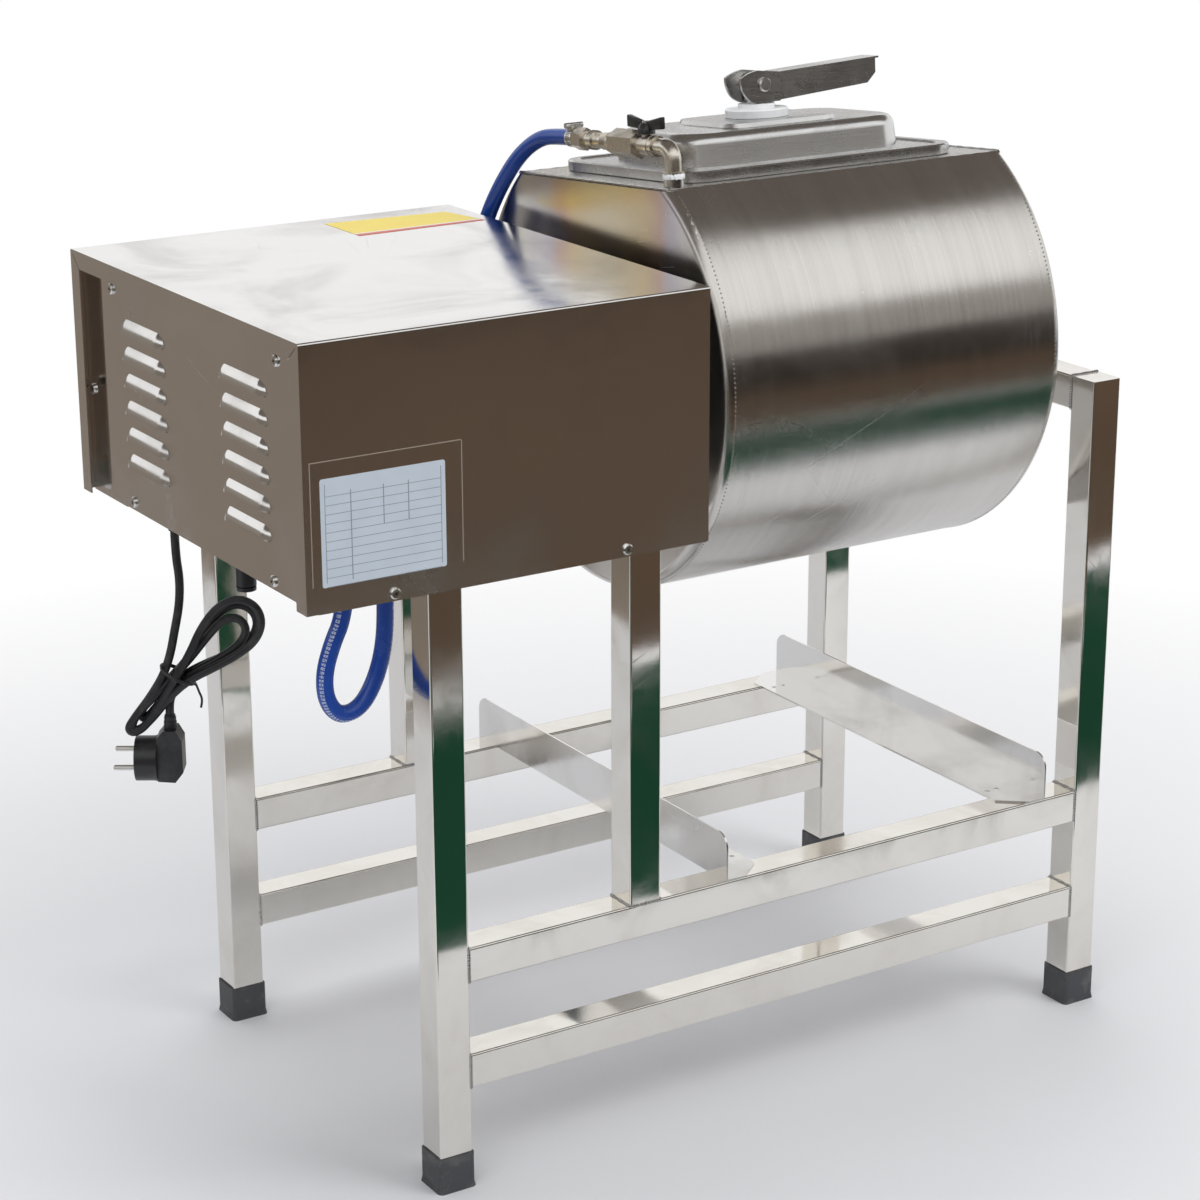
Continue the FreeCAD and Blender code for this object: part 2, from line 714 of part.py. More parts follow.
def vacuum_pump():
    """Twin-head diaphragm pump on a foot plate."""
    x, y = box_left + pump_offset, axis_y - pan_half + pump_side
    end = x + pump_length + 2 * pump_head_length
    half_foot, half_head = pump_foot_width / 2, pump_head_width / 2
    foot = box(x - 4, end + 4, y - half_foot, y + half_foot, pan_top, pan_top + 3)
    saddle = box(x + pump_head_length, end - pump_head_length, y - 20, y + 20, pan_top + 3, pan_top + 25)
    can = rod(pump_radius, (x + pump_head_length, y, pan_top + 11 + pump_radius), X, pump_length)
    parts = [foot, saddle, can]
    top = pan_top + 3 + pump_head_height
    for start in (x, end - pump_head_length):
        mid = start + pump_head_length / 2
        parts.append(box(start, start + pump_head_length, y - half_head, y + half_head, pan_top + 3, top))
        parts.append(rod(half_head - 3, (mid, y, top), Z, 14))
        parts.append(rod(pump_port_radius, (mid, y - half_head, top - 14), Y * -1, 14))
    return fuse(parts)


def control_board():
    """Circuit board on four spacers with its transformer, relays and run capacitor."""
    x, y = box_left + board_offset, axis_y + pan_half - board_side
    z = pan_top + board_lift
    board = box(x, x + board_length, y, y + board_width, z, z + 1.6)
    parts = [board]
    for px in (x + 6, x + board_length - 6):
        for py in (y + 6, y + board_width - 6):
            parts.append(rod(3, (px, py, pan_top), Z, board_lift))
    parts += [box(x + 10, x + 48, y + 12, y + 44, z + 1.6, z + 34)]
    parts += [box(x + 58 + 20 * i, x + 73 + 20 * i, y + 14, y + 42, z + 1.6, z + 17) for i in range(3)]
    parts += [box(x + 20, x + 100, y + 56, y + 68, z + 1.6, z + 14)]
    board = fuse(parts)
    beside = (x + board_length + capacitor_radius + 3, y + board_width / 2, pan_top)
    capacitor = rod(capacitor_radius, beside, Z, capacitor_height)
    return [board, capacitor]


def exhaust_fitting():
    """Push-in fitting through the base pan, with its release collar."""
    x, y, radius = pan_holes()[0]
    body = fuse([rod(8.3, (x, y, deck_height - 18), Z, 18), rod(radius, (x, y, deck_height), Z, 16),
                 hexagon(19, (x, y, pan_top), Z, 5)])
    collar = fuse([rod(8.1, (x, y, deck_height - 22), Z, 3), rod(6.0, (x, y, deck_height - 19), Z, 1)])
    body = body.cut(rod(5.1, (x, y, deck_height - 30), Z, 40))
    return body.fuse(collar.cut(rod(5.1, (x, y, deck_height - 30), Z, 40))).removeSplitter()


# ---- drum

def drum_shell():
    tube_outer = rod(drum_radius, (seam_left, 0, 0), X, drum_length)
    tube_inner = rod(drum_radius - drum_sheet, (seam_left - 1, 0, 0), X, drum_length + 2)
    top = box(seam_left - 1, seam_right + 1, -drum_radius, drum_radius,
              flat_height - drum_sheet, drum_radius + 1)
    return in_drum(tube_outer.cut(tube_inner).cut(top))


def drum_end(face, seam, out):
    """Flanged end: flat face, rounded knuckle and a skirt inside the shell."""
    def form(offset, depth):
        radius = drum_radius - offset
        bend_radius = knuckle - offset
        x = face + out * -offset
        edge = x - out * bend_radius
        arc = Part.Arc(Vector(x, radius - bend_radius, 0),
                       Vector(x - out * bend_radius * (1 - math.sqrt(0.5)),
                              radius - bend_radius * (1 - math.sqrt(0.5)), 0),
                       Vector(edge, radius, 0)).toShape()
        last = seam - out * depth
        points = [Vector(edge, radius, 0), Vector(last, radius, 0), Vector(last, 0, 0), Vector(x, 0, 0),
                  Vector(x, radius - bend_radius, 0)]
        lines = [Part.makeLine(a, b) for a, b in zip(points, points[1:]) if (a - b).Length > 1e-6]
        return Part.Face(Part.Wire([arc] + lines)).revolve(Vector(0, 0, 0), X, 360)

    cup = form(0, 0).cut(form(drum_sheet, 1))
    skirt = rod(drum_radius - drum_sheet, (seam, 0, 0), X * -out, end_skirt)
    skirt = skirt.cut(rod(drum_radius - 2 * drum_sheet, (seam + out, 0, 0), X * -out, end_skirt + 2))
    ledge = rod(drum_radius - drum_sheet, (seam, 0, 0), X * out, 2)
    ledge = ledge.cut(rod(drum_radius - 2 * drum_sheet, (seam - out, 0, 0), X * out, 4))
    low, high = sorted((face + out, seam - out * (end_skirt + 1)))
    top = box(low, high, -drum_radius, drum_radius, flat_height - drum_sheet, drum_radius + 1)
    return in_drum(fuse([cup, skirt, ledge]).cut(top))


def hatch_plate():
    """Flat that closes the cut side of the drum, with its frame and the valve socket welded on."""
    under = flat_height - drum_sheet
    plate = box(face_left + knuckle * 0.4, face_right - knuckle * 0.4, -drum_radius, drum_radius,
                under, flat_height)
    plate = plate.common(rod(drum_radius, (face_left, 0, 0), X, face_right - face_left))
    frame = rounded_block(drum_mid, 0, under - frame_sheet, under, hatch_length + 2 * frame_width,
                          hatch_width + 2 * frame_width, hatch_corner + frame_width)
    socket = rod(socket_radius, (valve_x, valve_y, flat_height), Z, socket_height)
    opening = rounded_block(drum_mid, 0, under - frame_sheet - 1, flat_height + 1,
                            hatch_length, hatch_width, hatch_corner)
    plate = fuse([plate, frame, socket]).cut(opening)
    bore = rod(pipe_radius - 2.5, (valve_x, valve_y, under - 1), Z, socket_height + drum_sheet + 2)
    return in_drum(plate.cut(bore))


def lifting_ribs():
    """Bent strips inside the shell that carry the meat up as the drum turns."""
    ribs = []
    inner = drum_radius - drum_sheet
    for angle in rib_angles:
        x0, x1 = seam_left + end_skirt + rib_clear, seam_right - end_skirt - rib_clear
        blade = box(x0, x1, -1, 1, inner - rib_height, inner + 1)
        foot = box(x0, x1, -1, rib_foot, inner - 4, inner + 1)
        shaped = blade.fuse(foot).common(rod(inner, (x0 - 1, 0, 0), X, x1 - x0 + 2))
        shaped = shaped.cut(rod(inner - 2, (x0 - 1, 0, 0), X, x1 - x0 + 2).cut(
            box(x0 - 2, x1 + 2, -1, 1, 0, inner + 1)))
        shaped.rotate(Vector(0, 0, 0), X, angle)
        ribs.append(in_drum(shaped.removeSplitter()))
    return ribs


# ---- valve group

def valve_elbow():
    low = flat_height + socket_height
    leg_top = valve_z - elbow_bend
    turn_y = valve_y + elbow_bend
    leg = rod(pipe_radius, (valve_x, valve_y, low), Z, leg_top - low)
    run = rod(pipe_radius, (valve_x, turn_y, valve_z), Y, elbow_end - turn_y)
    circle = Part.makeCircle(pipe_radius, Vector(valve_x, valve_y, leg_top), Z)
    corner = Part.Face(Part.Wire(circle)).revolve(Vector(valve_x, turn_y, leg_top), X * -1, 90)
    lips = [rod(pipe_radius + 1.6, (valve_x, valve_y, low), Z, 5),
            rod(pipe_radius + 1.6, (valve_x, elbow_end - 6, valve_z), Y, 6)]
    return in_drum(fuse([leg, corner, run] + lips))


def valve_body():
    collar = rod(pipe_radius + 2, (valve_x, elbow_end, valve_z), Y, 6)
    waist = rod(pipe_radius + 1, (valve_x, elbow_end, valve_z), Y, 22)
    hexed = hexagon(hex_flats, (valve_x, elbow_end + 20, valve_z), Y, body_end - elbow_end - 20)
    stem = rod(4.5, (valve_x, stem_y, valve_z), Z, handle_low - valve_z)
    return in_drum(fuse([collar, waist, hexed, stem]))


def valve_handle():
    """Butterfly handle on the stem; it lies along the pipe while the valve is open."""
    z0 = handle_low + fit_gap
    hub_part = Part.makeCone(7.5, 5, 9, Vector(valve_x, stem_y, z0), Z)
    t = handle_sheet
    wings = []
    for side in (-1, 1):
        root, tip = stem_y + side * 2, stem_y + side * handle_half
        wings.append(outline([Vector(valve_x - t / 2, root, z0 + 3.6), Vector(valve_x - t / 2, tip, z0 + 5),
                              Vector(valve_x - t / 2, tip, handle_high), Vector(valve_x - t / 2, root, z0 + 9)],
                             Vector(t, 0, 0)))
    return in_drum(fuse([hub_part] + wings))


def hose_tail():
    nipple = rod(6.6, (valve_x, body_end, valve_z), Y, tail_hex_start - body_end)
    ring = rod(8.6, (valve_x, body_end, valve_z), Y, 7)
    collar = rod(8.0, (valve_x, tail_hex_start - 16, valve_z), Y, 8)
    nut = hexagon(tail_hex, (valve_x, tail_hex_start, valve_z), Y, 14)
    barb = rod(hose_diameter / 2 - 0.2, (valve_x, tail_hex_start + 14, valve_z), Y,
               hose_start - tail_hex_start - 14)
    return in_drum(fuse([nipple, ring, collar, nut, barb]))


def hose_clamp():
    """Worm-drive clamp: a band with its screw housing."""
    y = hose_start - clamp_width - 1.5
    band = rod(hose_diameter / 2 + 1, (valve_x, y, valve_z), Y, clamp_width)
    band = band.cut(rod(hose_diameter / 2 - 0.2, (valve_x, y - 1, valve_z), Y, clamp_width + 2))
    z = valve_z + hose_diameter / 2
    housing = box(valve_x - 5, valve_x + 5, y + 1, y + clamp_width - 1, z, z + 5)
    worm = rod(2.4, (valve_x - 9, y + clamp_width / 2, z + 4), X, 17)
    return in_drum(fuse([band, housing.fuse(worm)]))


# ---- lid

def lid_form(offset):
    """Outer form of the pressed lid, shrunk by offset for its inner face."""
    mid = drum_mid
    base = flat_height + rim_bottom - (1 if offset else 0)
    shoulder = flat_height + rim_bottom + rim_height - offset
    rim = rounded_block(mid, 0, base, shoulder, lid_length - 2 * offset, lid_width - 2 * offset,
                        lid_corner - offset)
    bead_out = Part.Face(rounded_wire(mid, 0, shoulder, lid_length - 2 * offset, lid_width - 2 * offset,
                                      lid_corner - offset))
    inner = bead_width - 2 * offset
    bead_in = Part.Face(rounded_wire(mid, 0, shoulder, lid_length - 2 * offset - 2 * inner,
                                     lid_width - 2 * offset - 2 * inner, lid_corner - offset - inner))
    bead = bead_out.cut(bead_in).extrude(Vector(0, 0, bead_rise))
    crest = [e for e in bead.Edges if all(v.Point.z > shoulder + bead_rise * 0.5 for v in e.Vertexes)]
    bead = bead.makeChamfer(bead_rise * 0.8, crest)
    top = flat_height + dome_height - offset
    dome = Part.makeLoft([
        rounded_wire(mid, 0, shoulder - 1, dome_length - 2 * offset, dome_width - 2 * offset,
                     dome_corner - offset),
        rounded_wire(mid, 0, top, dome_length - 2 * (offset + dome_draft),
                     dome_width - 2 * (offset + dome_draft), dome_corner - offset - dome_draft)], True, True)
    crown = [e for e in dome.Edges if all(v.Point.z > top - 0.1 for v in e.Vertexes)]
    dome = dome.makeFillet(dome_round - offset, crown)
    raised = Part.makeLoft([
        rounded_wire(mid, 0, top - 1, panel_length - 2 * offset, panel_width - 2 * offset,
                     panel_corner - offset),
        rounded_wire(mid, 0, top + panel_rise, panel_length - 2 * offset - panel_rise,
                     panel_width - 2 * offset - panel_rise, panel_corner - offset - panel_rise / 2)],
        True, True)
    return fuse([rim, bead, dome, raised])


def lid_shell():
    skin = lid_form(0).cut(lid_form(lid_sheet))
    hole = rod(stud_radius + stud_gap, (drum_mid, 0, flat_height), Z, dome_height + panel_rise + 5)
    return in_drum(skin.cut(hole))


def lid_gasket():
    under = flat_height + rim_bottom + rim_height - lid_sheet
    edge = lid_sheet + fit_gap
    outer = rounded_block(drum_mid, 0, flat_height + fit_gap, under, lid_length - 2 * edge,
                          lid_width - 2 * edge, lid_corner - edge)
    inner = rounded_block(drum_mid, 0, flat_height, under + 1, lid_length - 2 * (edge + gasket_width),
                          lid_width - 2 * (edge + gasket_width), lid_corner - edge - gasket_width)
    return in_drum(outer.cut(inner))


def thrust_washer():
    disc = rod(washer_radius, (drum_mid, 0, washer_z), Z, washer_thick)
    rims = [e for e in disc.Edges if e.Length > 10 and e.Vertexes[0].Point.z > washer_z + 1
            and len(e.Vertexes) == 1]
    disc = disc.makeChamfer(1.2, rims)
    boss = rod(washer_boss_radius, (drum_mid, 0, washer_z + washer_thick - 0.1), Z, washer_boss + 0.1)
    washer = disc.fuse(boss).removeSplitter()
    return in_drum(washer.cut(rod(stud_radius + stud_gap, (drum_mid, 0, washer_z - 1), Z, 30)))


def clamp_stud():
    """Stud with a flat eye for the lever pin; a nut under the bar holds it."""
    bottom = bar_top - bar_sheet - 9
    stem = rod(stud_radius, (drum_mid, 0, bottom), Z, pivot_z - bottom - 4)
    eye = rod(9.5, (drum_mid, -stud_head / 2, pivot_z), Y, stud_head)
    neck = box(drum_mid - 7, drum_mid + 7, -stud_head / 2, stud_head / 2, boss_top + 2, pivot_z)
    nut = hexagon(stud_nut, (drum_mid, 0, bar_top - bar_sheet - 7), Z, 7)
    stud = fuse([stem, eye, neck, nut])
    return in_drum(stud.cut(rod(pin_radius, (drum_mid, -20, pivot_z), Y, 40)))


def clamp_bar():
    """Channel under the lid; turned across the hatch it hooks under the frame."""
    x0, x1 = drum_mid - bar_length / 2, drum_mid + bar_length / 2
    half = bar_width / 2
    bar = rounded_block(drum_mid, 0, bar_top - bar_height, bar_top, bar_length, bar_width, 8)
    hollow = box(x0 + 10, x1 - 10, -half + bar_sheet, half - bar_sheet,
                 bar_top - bar_height - 1, bar_top - bar_sheet)
    hole = rod(stud_radius, (drum_mid, 0, bar_top - bar_height - 1), Z, bar_height + 2)
    return in_drum(bar.cut(hollow).cut(hole))


def cam_radius(angle):
    return cam_base + cam_lift * angle / 90.0


def cheek_face(y):
    """Side plate of the lever: spiral cam round the pivot, running into the arm."""
    def polar(radius, angle):
        turn = math.radians(-90 - angle)
        return Vector(drum_mid + radius * math.cos(turn), y, pivot_z + radius * math.sin(turn))

    spiral = Part.BSplineCurve()
    spiral.interpolate([polar(cam_radius(a), a) for a in range(0, int(cam_end) + 1, 15)])
    crown = Vector(drum_mid - 6, y, pivot_z + 12.5)
    shoulder = Part.Arc(polar(cam_radius(cam_end), cam_end), Vector(drum_mid - 19, y, pivot_z + 9.2),
                        crown).toShape()
    front_top = Vector(drum_mid + cheek_front, y, pivot_z + 9.5)
    front_low = Vector(drum_mid + cheek_front, y, pivot_z - cam_base)
    foot = polar(cam_radius(0), 0)
    return Part.Face(Part.Wire([spiral.toShape(), shoulder, Part.makeLine(crown, front_top),
                                Part.makeLine(front_top, front_low), Part.makeLine(front_low, foot)]))


def clamp_lever():
    """Lever: two cam cheeks welded outside a tapered channel arm."""
    half = lever_gap / 2
    cheeks = [cheek_face(-half - cheek_sheet).extrude(Vector(0, cheek_sheet, 0)),
              cheek_face(half).extrude(Vector(0, cheek_sheet, 0))]
    x0, x1 = drum_mid + 12.0, drum_mid + lever_length
    profile = [Vector(x0, -half - 1, pivot_z - 15), Vector(x1 - 9, -half - 1, pivot_z - 7.5),
               Vector(x1, -half - 1, pivot_z + 1), Vector(x1, -half - 1, pivot_z + 14.5),
               Vector(x0, -half - 1, pivot_z + 9)]
    arm = outline(profile, Vector(0, lever_gap + 2, 0))
    hollow = [p + Vector(dx, 0, dz) for p, dx, dz in zip(
        profile, (-1, 3, 3, 3, -1), (-3, -3, -3, -lever_sheet, -lever_sheet))]
    inside = outline([p + Vector(0, lever_sheet, 0) for p in hollow],
                     Vector(0, lever_gap + 2 - 2 * lever_sheet, 0))
    lip = outline([Vector(x0 + 6, -half - 2, pivot_z + 8.2), Vector(x1 + 3, -half - 2, pivot_z + 13.6),
                   Vector(x1 + 3, -half - 2, pivot_z + 15.2), Vector(x0 + 6, -half - 2, pivot_z + 9.8)],
                  Vector(0, lever_gap + 4, 0))
    lever = fuse(cheeks + [arm.cut(inside).fuse(lip)])
    return in_drum(lever.cut(rod(pin_radius + running_gap, (drum_mid, -20, pivot_z), Y, 40)))


def lever_pin():
    half = lever_gap / 2 + cheek_sheet
    shank = rod(pin_radius, (drum_mid, -half - 0.5, pivot_z), Y, 2 * half + 1)
    heads = []
    for side in (-1, 1):
        head = rod(6.2, (drum_mid, side * (half + fit_gap), pivot_z), Y * side, 2.6)
        edge = [e for e in head.Edges if len(e.Vertexes) == 1
                and abs(e.Vertexes[0].Point.y) > half + fit_gap + 2]
        heads.append(head.makeChamfer(1.2, edge))
    return in_drum(fuse([shank] + heads))


# ---- controls

def control_mid_x():
    return box_left + panel_x + control_length / 2


def control_slots():
    """Centres of the controls on the far side: gauge, window, start, stop, switch."""
    mid, z = control_mid_x(), control_mid_z
    return {"gauge": (mid - 58, z), "window": (mid + 12, z + 26), "start": (mid - 6, z - 18),
            "stop": (mid + 24, z - 18), "switch": (mid + 62, z - 4)}


def control_panel():
    y = axis_y + cover_depth / 2
    mid, z = control_mid_x(), control_mid_z
    plate = box(mid - control_length / 2, mid + control_length / 2, y, y + control_sheet,
                z - control_height / 2, z + control_height / 2)
    corners = [e for e in plate.Edges if abs(e.tangentAt(e.FirstParameter).y) > 0.9]
    plate = plate.makeFillet(6, corners)
    slots = control_slots()
    gx, gz = slots["gauge"]
    plate = plate.cut(rod(gauge_radius - 2 + fit_gap, (gx, y - 1, gz), Y, 5))
    for name in ("start", "stop"):
        bx, bz = slots[name]
        plate = plate.cut(rod(button_radius + fit_gap, (bx, y - 1, bz), Y, 5))
    wx, wz = slots["window"]
    plate = plate.cut(box(wx - window_length / 2, wx + window_length / 2, y - 1, y + 5,
                          wz - window_height / 2, wz + window_height / 2))
    sx, sz = slots["switch"]
    gap = fit_gap * 2
    return plate.cut(box(sx - rocker_width / 2 - gap, sx + rocker_width / 2 + gap, y - 1, y + 5,
                         sz - rocker_length / 2 - gap, sz + rocker_length / 2 + gap))


def display_window():
    y = axis_y + cover_depth / 2
    x, z = control_slots()["window"]
    return box(x - window_length / 2, x + window_length / 2, y - 2, y + control_sheet + 0.4,
               z - window_height / 2, z + window_height / 2)


def push_button(name):
    """Round cap with a wider foot behind the panel that keeps it in."""
    y = axis_y + cover_depth / 2
    x, z = control_slots()[name]
    cap = rod(button_radius, (x, y - 3, z), Y, 3 + control_sheet + button_proud)
    edge = [e for e in cap.Edges if len(e.Vertexes) == 1 and e.Vertexes[0].Point.y > y + control_sheet + 1]
    cap = cap.makeChamfer(0.9, edge)
    foot = rod(button_radius + 2, (x, y - 5.5, z), Y, 5.2)
    return fuse([cap, foot])


def power_switch():
    """Rocker; its pivot is level with the panel face."""
    y = axis_y + cover_depth / 2 + control_sheet
    x, z = control_slots()["switch"]
    half = rocker_length / 2
    pivot = rod(rocker_pin, (x - rocker_width / 2 - 0.4, y - rocker_depth, z), X, rocker_width + 0.8)
    profile = [Vector(x - rocker_width / 2, y - 6, z - half * 0.55),
               Vector(x - rocker_width / 2, y - 6, z + half * 0.55),
               Vector(x - rocker_width / 2, y + 3.2, z + half - 0.8),
               Vector(x - rocker_width / 2, y + 1.2, z),
               Vector(x - rocker_width / 2, y + 1.0, z - half + 0.8)]
    return fuse([outline(profile, Vector(rocker_width, 0, 0)), pivot])


def gauge_case():
    """Vacuum gauge: bezel outside the panel, case and stem behind it."""
    y = axis_y + cover_depth / 2
    x, z = control_slots()["gauge"]
    front = axis_y + rear_reach
    bezel = rod(gauge_radius, (x, y + control_sheet, z), Y, front - y - control_sheet)
    case = rod(gauge_radius - 2, (x, y - gauge_depth, z), Y, gauge_depth + control_sheet)
    stem = rod(5, (x, y - gauge_depth - 14, z), Y, 14)
    body = fuse([bezel, case, stem])
    dial = y + control_sheet + 2
    body = body.cut(rod(gauge_radius - 3, (x, dial, z), Y, 20))
    return body.fuse(rod(1.5, (x, dial - 1, z), Y, 3)).removeSplitter()


def gauge_needle():
    y = axis_y + cover_depth / 2 + control_sheet + 3
    x, z = control_slots()["gauge"]
    r = gauge_radius - 7
    down = math.radians(225)
    hub_disc = rod(3.2, (x, y, z), Y, 2.2)
    blade = outline([Vector(x - 1.6, y + 0.6, z), Vector(x, y + 0.6, z - 6), Vector(x + 1.6, y + 0.6, z),
                     Vector(x, y + 0.6, z + r)], Vector(0, 1, 0))
    needle = hub_disc.fuse(blade).removeSplitter()
    needle = needle.cut(rod(1.5 + running_gap, (x, y - 1, z), Y, 3.4 - 1))
    needle.rotate(Vector(x, y, z), Y, math.degrees(down))
    return needle


# ---- cords

def cord_axis(points):
    """Straight runs joined by tangent arcs; prints the radius of each arc."""
    corners = []
    for a, b, c in zip(points, points[1:], points[2:]):
        into, out = (b - a), (c - b)
        turn = into.getAngle(out)
        radius = 0.45 * min(into.Length, out.Length) / math.tan(turn / 2)
        trim = radius * math.tan(turn / 2)
        into, out = into.normalize(), out.normalize()
        start, end = b - into * trim, b + out * trim
        inward = (out - into).normalize()
        middle = b + inward * (radius / math.cos(turn / 2) - radius)
        corners.append((start, middle, end, radius))
    print("arc radii", [round(c[3]) for c in corners])
    edges, at = [], points[0]
    for start, middle, end, radius in corners:
        edges += [Part.LineSegment(at, start).toShape(), Part.Arc(start, middle, end).toShape()]
        at = end
    edges.append(Part.LineSegment(at, points[-1]).toShape())
    return Part.Wire(edges)


def cord(points, diameter):
    points = [Vector(*p) for p in points]
    axis = cord_axis(points)
    circle = Part.Wire(Part.makeCircle(diameter / 2, points[0], points[1] - points[0]))
    solid = axis.makePipeShell([circle], True, True)
    expected = math.pi * diameter ** 2 / 4 * axis.Length
    print("cord length", round(axis.Length), "volume ratio", round(solid.Volume / expected, 4))
    return solid


# From the hose tail on the drum, over and down between box and drum, and up into the base pan.
drum_hose_points = [
    (4.9, 61.2, 802.1), (4.6, 83, 800.3), (1.5, 106, 796), (-5.5, 128, 780), (-13.5, 146, 753),
    (-20.5, 161, 722), (-24, 173, 688), (-24.5, 181, 652), (-24.2, 185, 614), (-24.8, 184, 576),
    (-25, 178, 538), (-29, 170, 502), (-42, 163, 470), (-65, 159, 449), (-94, 158, 449),
    (-116, 160, 468), (-124, 162, 493), (-125, 162.5, 516)]
# Loop below the base pan, both ends in the pan.
loop_hose_points = [
    (-299.8, -151.4, 516), (-299.4, -151.2, 484), (-302.5, -151.0, 454), (-311.5, -151.2, 429),
    (-325, -151.6, 411), (-343, -151.9, 408), (-354, -151.6, 422), (-355.5, -151.2, 444),
    (-347.5, -151.0, 468), (-336.5, -151.2, 489), (-333.5, -151.4, 516)]
power_cord_points = [
    (-360.1, 108.6, 498), (-360.1, 108.6, 476), (-357.9, 107.3, 454), (-359.2, 108.1, 431),
    (-364.0, 111.0, 411), (-364.0, 111.0, 391)]


def pan_holes():
    """Centres and radii of what passes through the base pan: exhaust, hoses, cord gland."""
    holes = [(pan_left + 4 + 8, axis_y - 57.5, 7.0)]
    for x, y, z in (drum_hose_points[-1], loop_hose_points[0], loop_hose_points[-1]):
        holes.append((x, y, hose_diameter / 2 + hose_hole_gap))
    x, y, z = power_cord_points[0]
    holes.append((x, y, gland_radius - 2))
    return holes


def cord_gland():
    x, y = power_cord_points[0][:2]
    start = Vector(x, y, deck_height - gland_length)
    sleeve = Part.makeCone(gland_radius - 3, gland_radius - 1, gland_length, start, Z)
    collar = rod(gland_radius, (x, y, deck_height - 4), Z, 4)
    neck = rod(gland_radius - 2, (x, y, deck_height), Z, 10)
    nut = hexagon(19, (x, y, pan_top), Z, 5)
    return fuse([sleeve, collar, neck, nut])


hank_origin = Vector(-360.1, 108.6, 0)
hank_right = Vector(0.846, -0.533, 0).normalize()
hank_back = Vector(0.533, 0.846, 0).normalize()
hank_outline = [(-13, 391), (4, 391), (11, 408), (24, 432), (40, 446), (57, 446), (72, 436), (78, 418),
                (73, 402), (62, 390), (38, 376), (10, 368), (-3, 353), (-15, 353), (-31, 318), (-40, 314),
                (-52, 316), (-55, 326), (-38, 352)]
plug_lead_points = [(-9, 353), (-9, 347), (-11.5, 340.5), (-11.5, 333)]


def hang(s, z, back=0.0):
    """Point in the upright plane in which the tied hank hangs."""
    return hank_origin + hank_right * s + hank_back * back + Vector(0, 0, z)


def cord_hank():
    slab = outline([hang(s, z, -hank_thick / 2) for s, z in hank_outline], hank_back * hank_thick)
    return slab


def plug():
    """Right-angle earthed plug: round pin face, flat body and ribbed relief."""
    axis = hank_right * -1
    middle = hang(-23, 293)
    face = rod(19.5, middle, axis, 19)
    half = 11.0
    body_points = [hang(-23, 275, -half), hang(-8, 274, -half), hang(-1, 283, -half), hang(-1, 312, -half),
                   hang(-6, 321, -half), hang(-17, 321, -half), hang(-23, 314, -half)]
    body = outline(body_points, hank_back * (2 * half))
    low = hang(-11.5, 319)
    relief = [Part.makeCone(6.2, 4.6, 14, low, Z)]
    relief += [rod(6.0 - 0.4 * i, low + Z * (2 + 4 * i), Z, 2) for i in range(3)]
    rim = rod(20, hang(-23, 293), axis, 2)
    housing = fuse([face, body, rim] + relief)
    spread = (hank_back * 0.77 + Z * 0.63).normalize()
    pins = []
    for side in (-1, 1):
        start = hang(-42, 293) + spread * (side * pin_pitch / 2)
        pins.append(fuse([rod(contact_radius, start, axis, pin_length - 1),
                          Part.makeCone(contact_radius, contact_radius * 0.6, 1,
                                        start + axis * (pin_length - 1), axis)]))
    return [housing] + pins


def power_cord():
    drop = cord(power_cord_points, cord_diameter)
    lead = cord([hang(s, z) for s, z in plug_lead_points], cord_diameter)
    return [drop, lead]


# ---- the assembly

nodes = {
    "left_legs": legs(left_x, deck_height),
    "right_legs": right_legs(),
    "mid_posts": mid_posts(),
    "upper_rails": rails(upper_rail_top),
    "lower_rails": rails(lower_rail_top),
    "bearing_beam": bearing_beam(),
    "foot_caps": foot_caps(),
    "left_tray_bracket": tray_bracket(1),
    "right_tray_bracket": tray_bracket(-1),
    "base_pan": base_pan(),
    "motor_cover": motor_cover(),
    "vent_panel": vent_panel(),
    "corner_panel": corner_panel(),
    "end_posts": end_posts(),
    "bulkhead": bulkhead(),
    "cover_screws": cover_screws(),
    "control_panel": control_panel(),
    "display_window": display_window(),
    "power_switch": power_switch(),
    "start_button": push_button("start"),
    "stop_button": push_button("stop"),
    "gauge_case": gauge_case(),
    "gauge_needle": gauge_needle(),
    "drive_motor": drive_motor(),
    "gearbox": gearbox(),
    "gearbox_bracket": gearbox_bracket(),
    "output_shaft": output_shaft(),
    "shaft_coupling": shaft_coupling(),
    "drive_bearing_housing": drive_bearing_housing(),
    "tail_bearing_housing": tail_bearing_housing(),
    "bearing_inserts": bearing_inserts(),
    "bearing_bolts": bearing_bolts(),
    "vacuum_pump": vacuum_pump(),
    "exhaust_fitting": exhaust_fitting(),
    "control_board": control_board(),
    "drum_shell": drum_shell(),
    "drum_left_end": drum_end(face_left, seam_left, -1),
    "drum_right_end": drum_end(face_right, seam_right, 1),
    "hatch_plate": hatch_plate(),
    "lifting_ribs": lifting_ribs(),
    "drive_hub": hub(face_left, -1, drive_shaft_radius, face_left - shaft_meet),
    "tail_hub": hub(face_right, 1, tail_shaft_radius, right_x + tube - 2 - face_right),
    "valve_elbow": valve_elbow(),
    "valve_body": valve_body(),
    "valve_handle": valve_handle(),
    "hose_tail": hose_tail(),
    "hose_clamp": hose_clamp(),
    "lid_shell": lid_shell(),
    "lid_gasket": lid_gasket(),
    "thrust_washer": thrust_washer(),
    "clamp_stud": clamp_stud(),
    "clamp_bar": clamp_bar(),
    "clamp_lever": clamp_lever(),
    "lever_pin": lever_pin(),
    "drum_hose": cord(drum_hose_points, hose_diameter),
    "loop_hose": cord(loop_hose_points, hose_diameter),
    "power_cord": power_cord(),
    "cord_hank": cord_hank(),
    "cord_gland": cord_gland(),
    "plug": plug(),
}

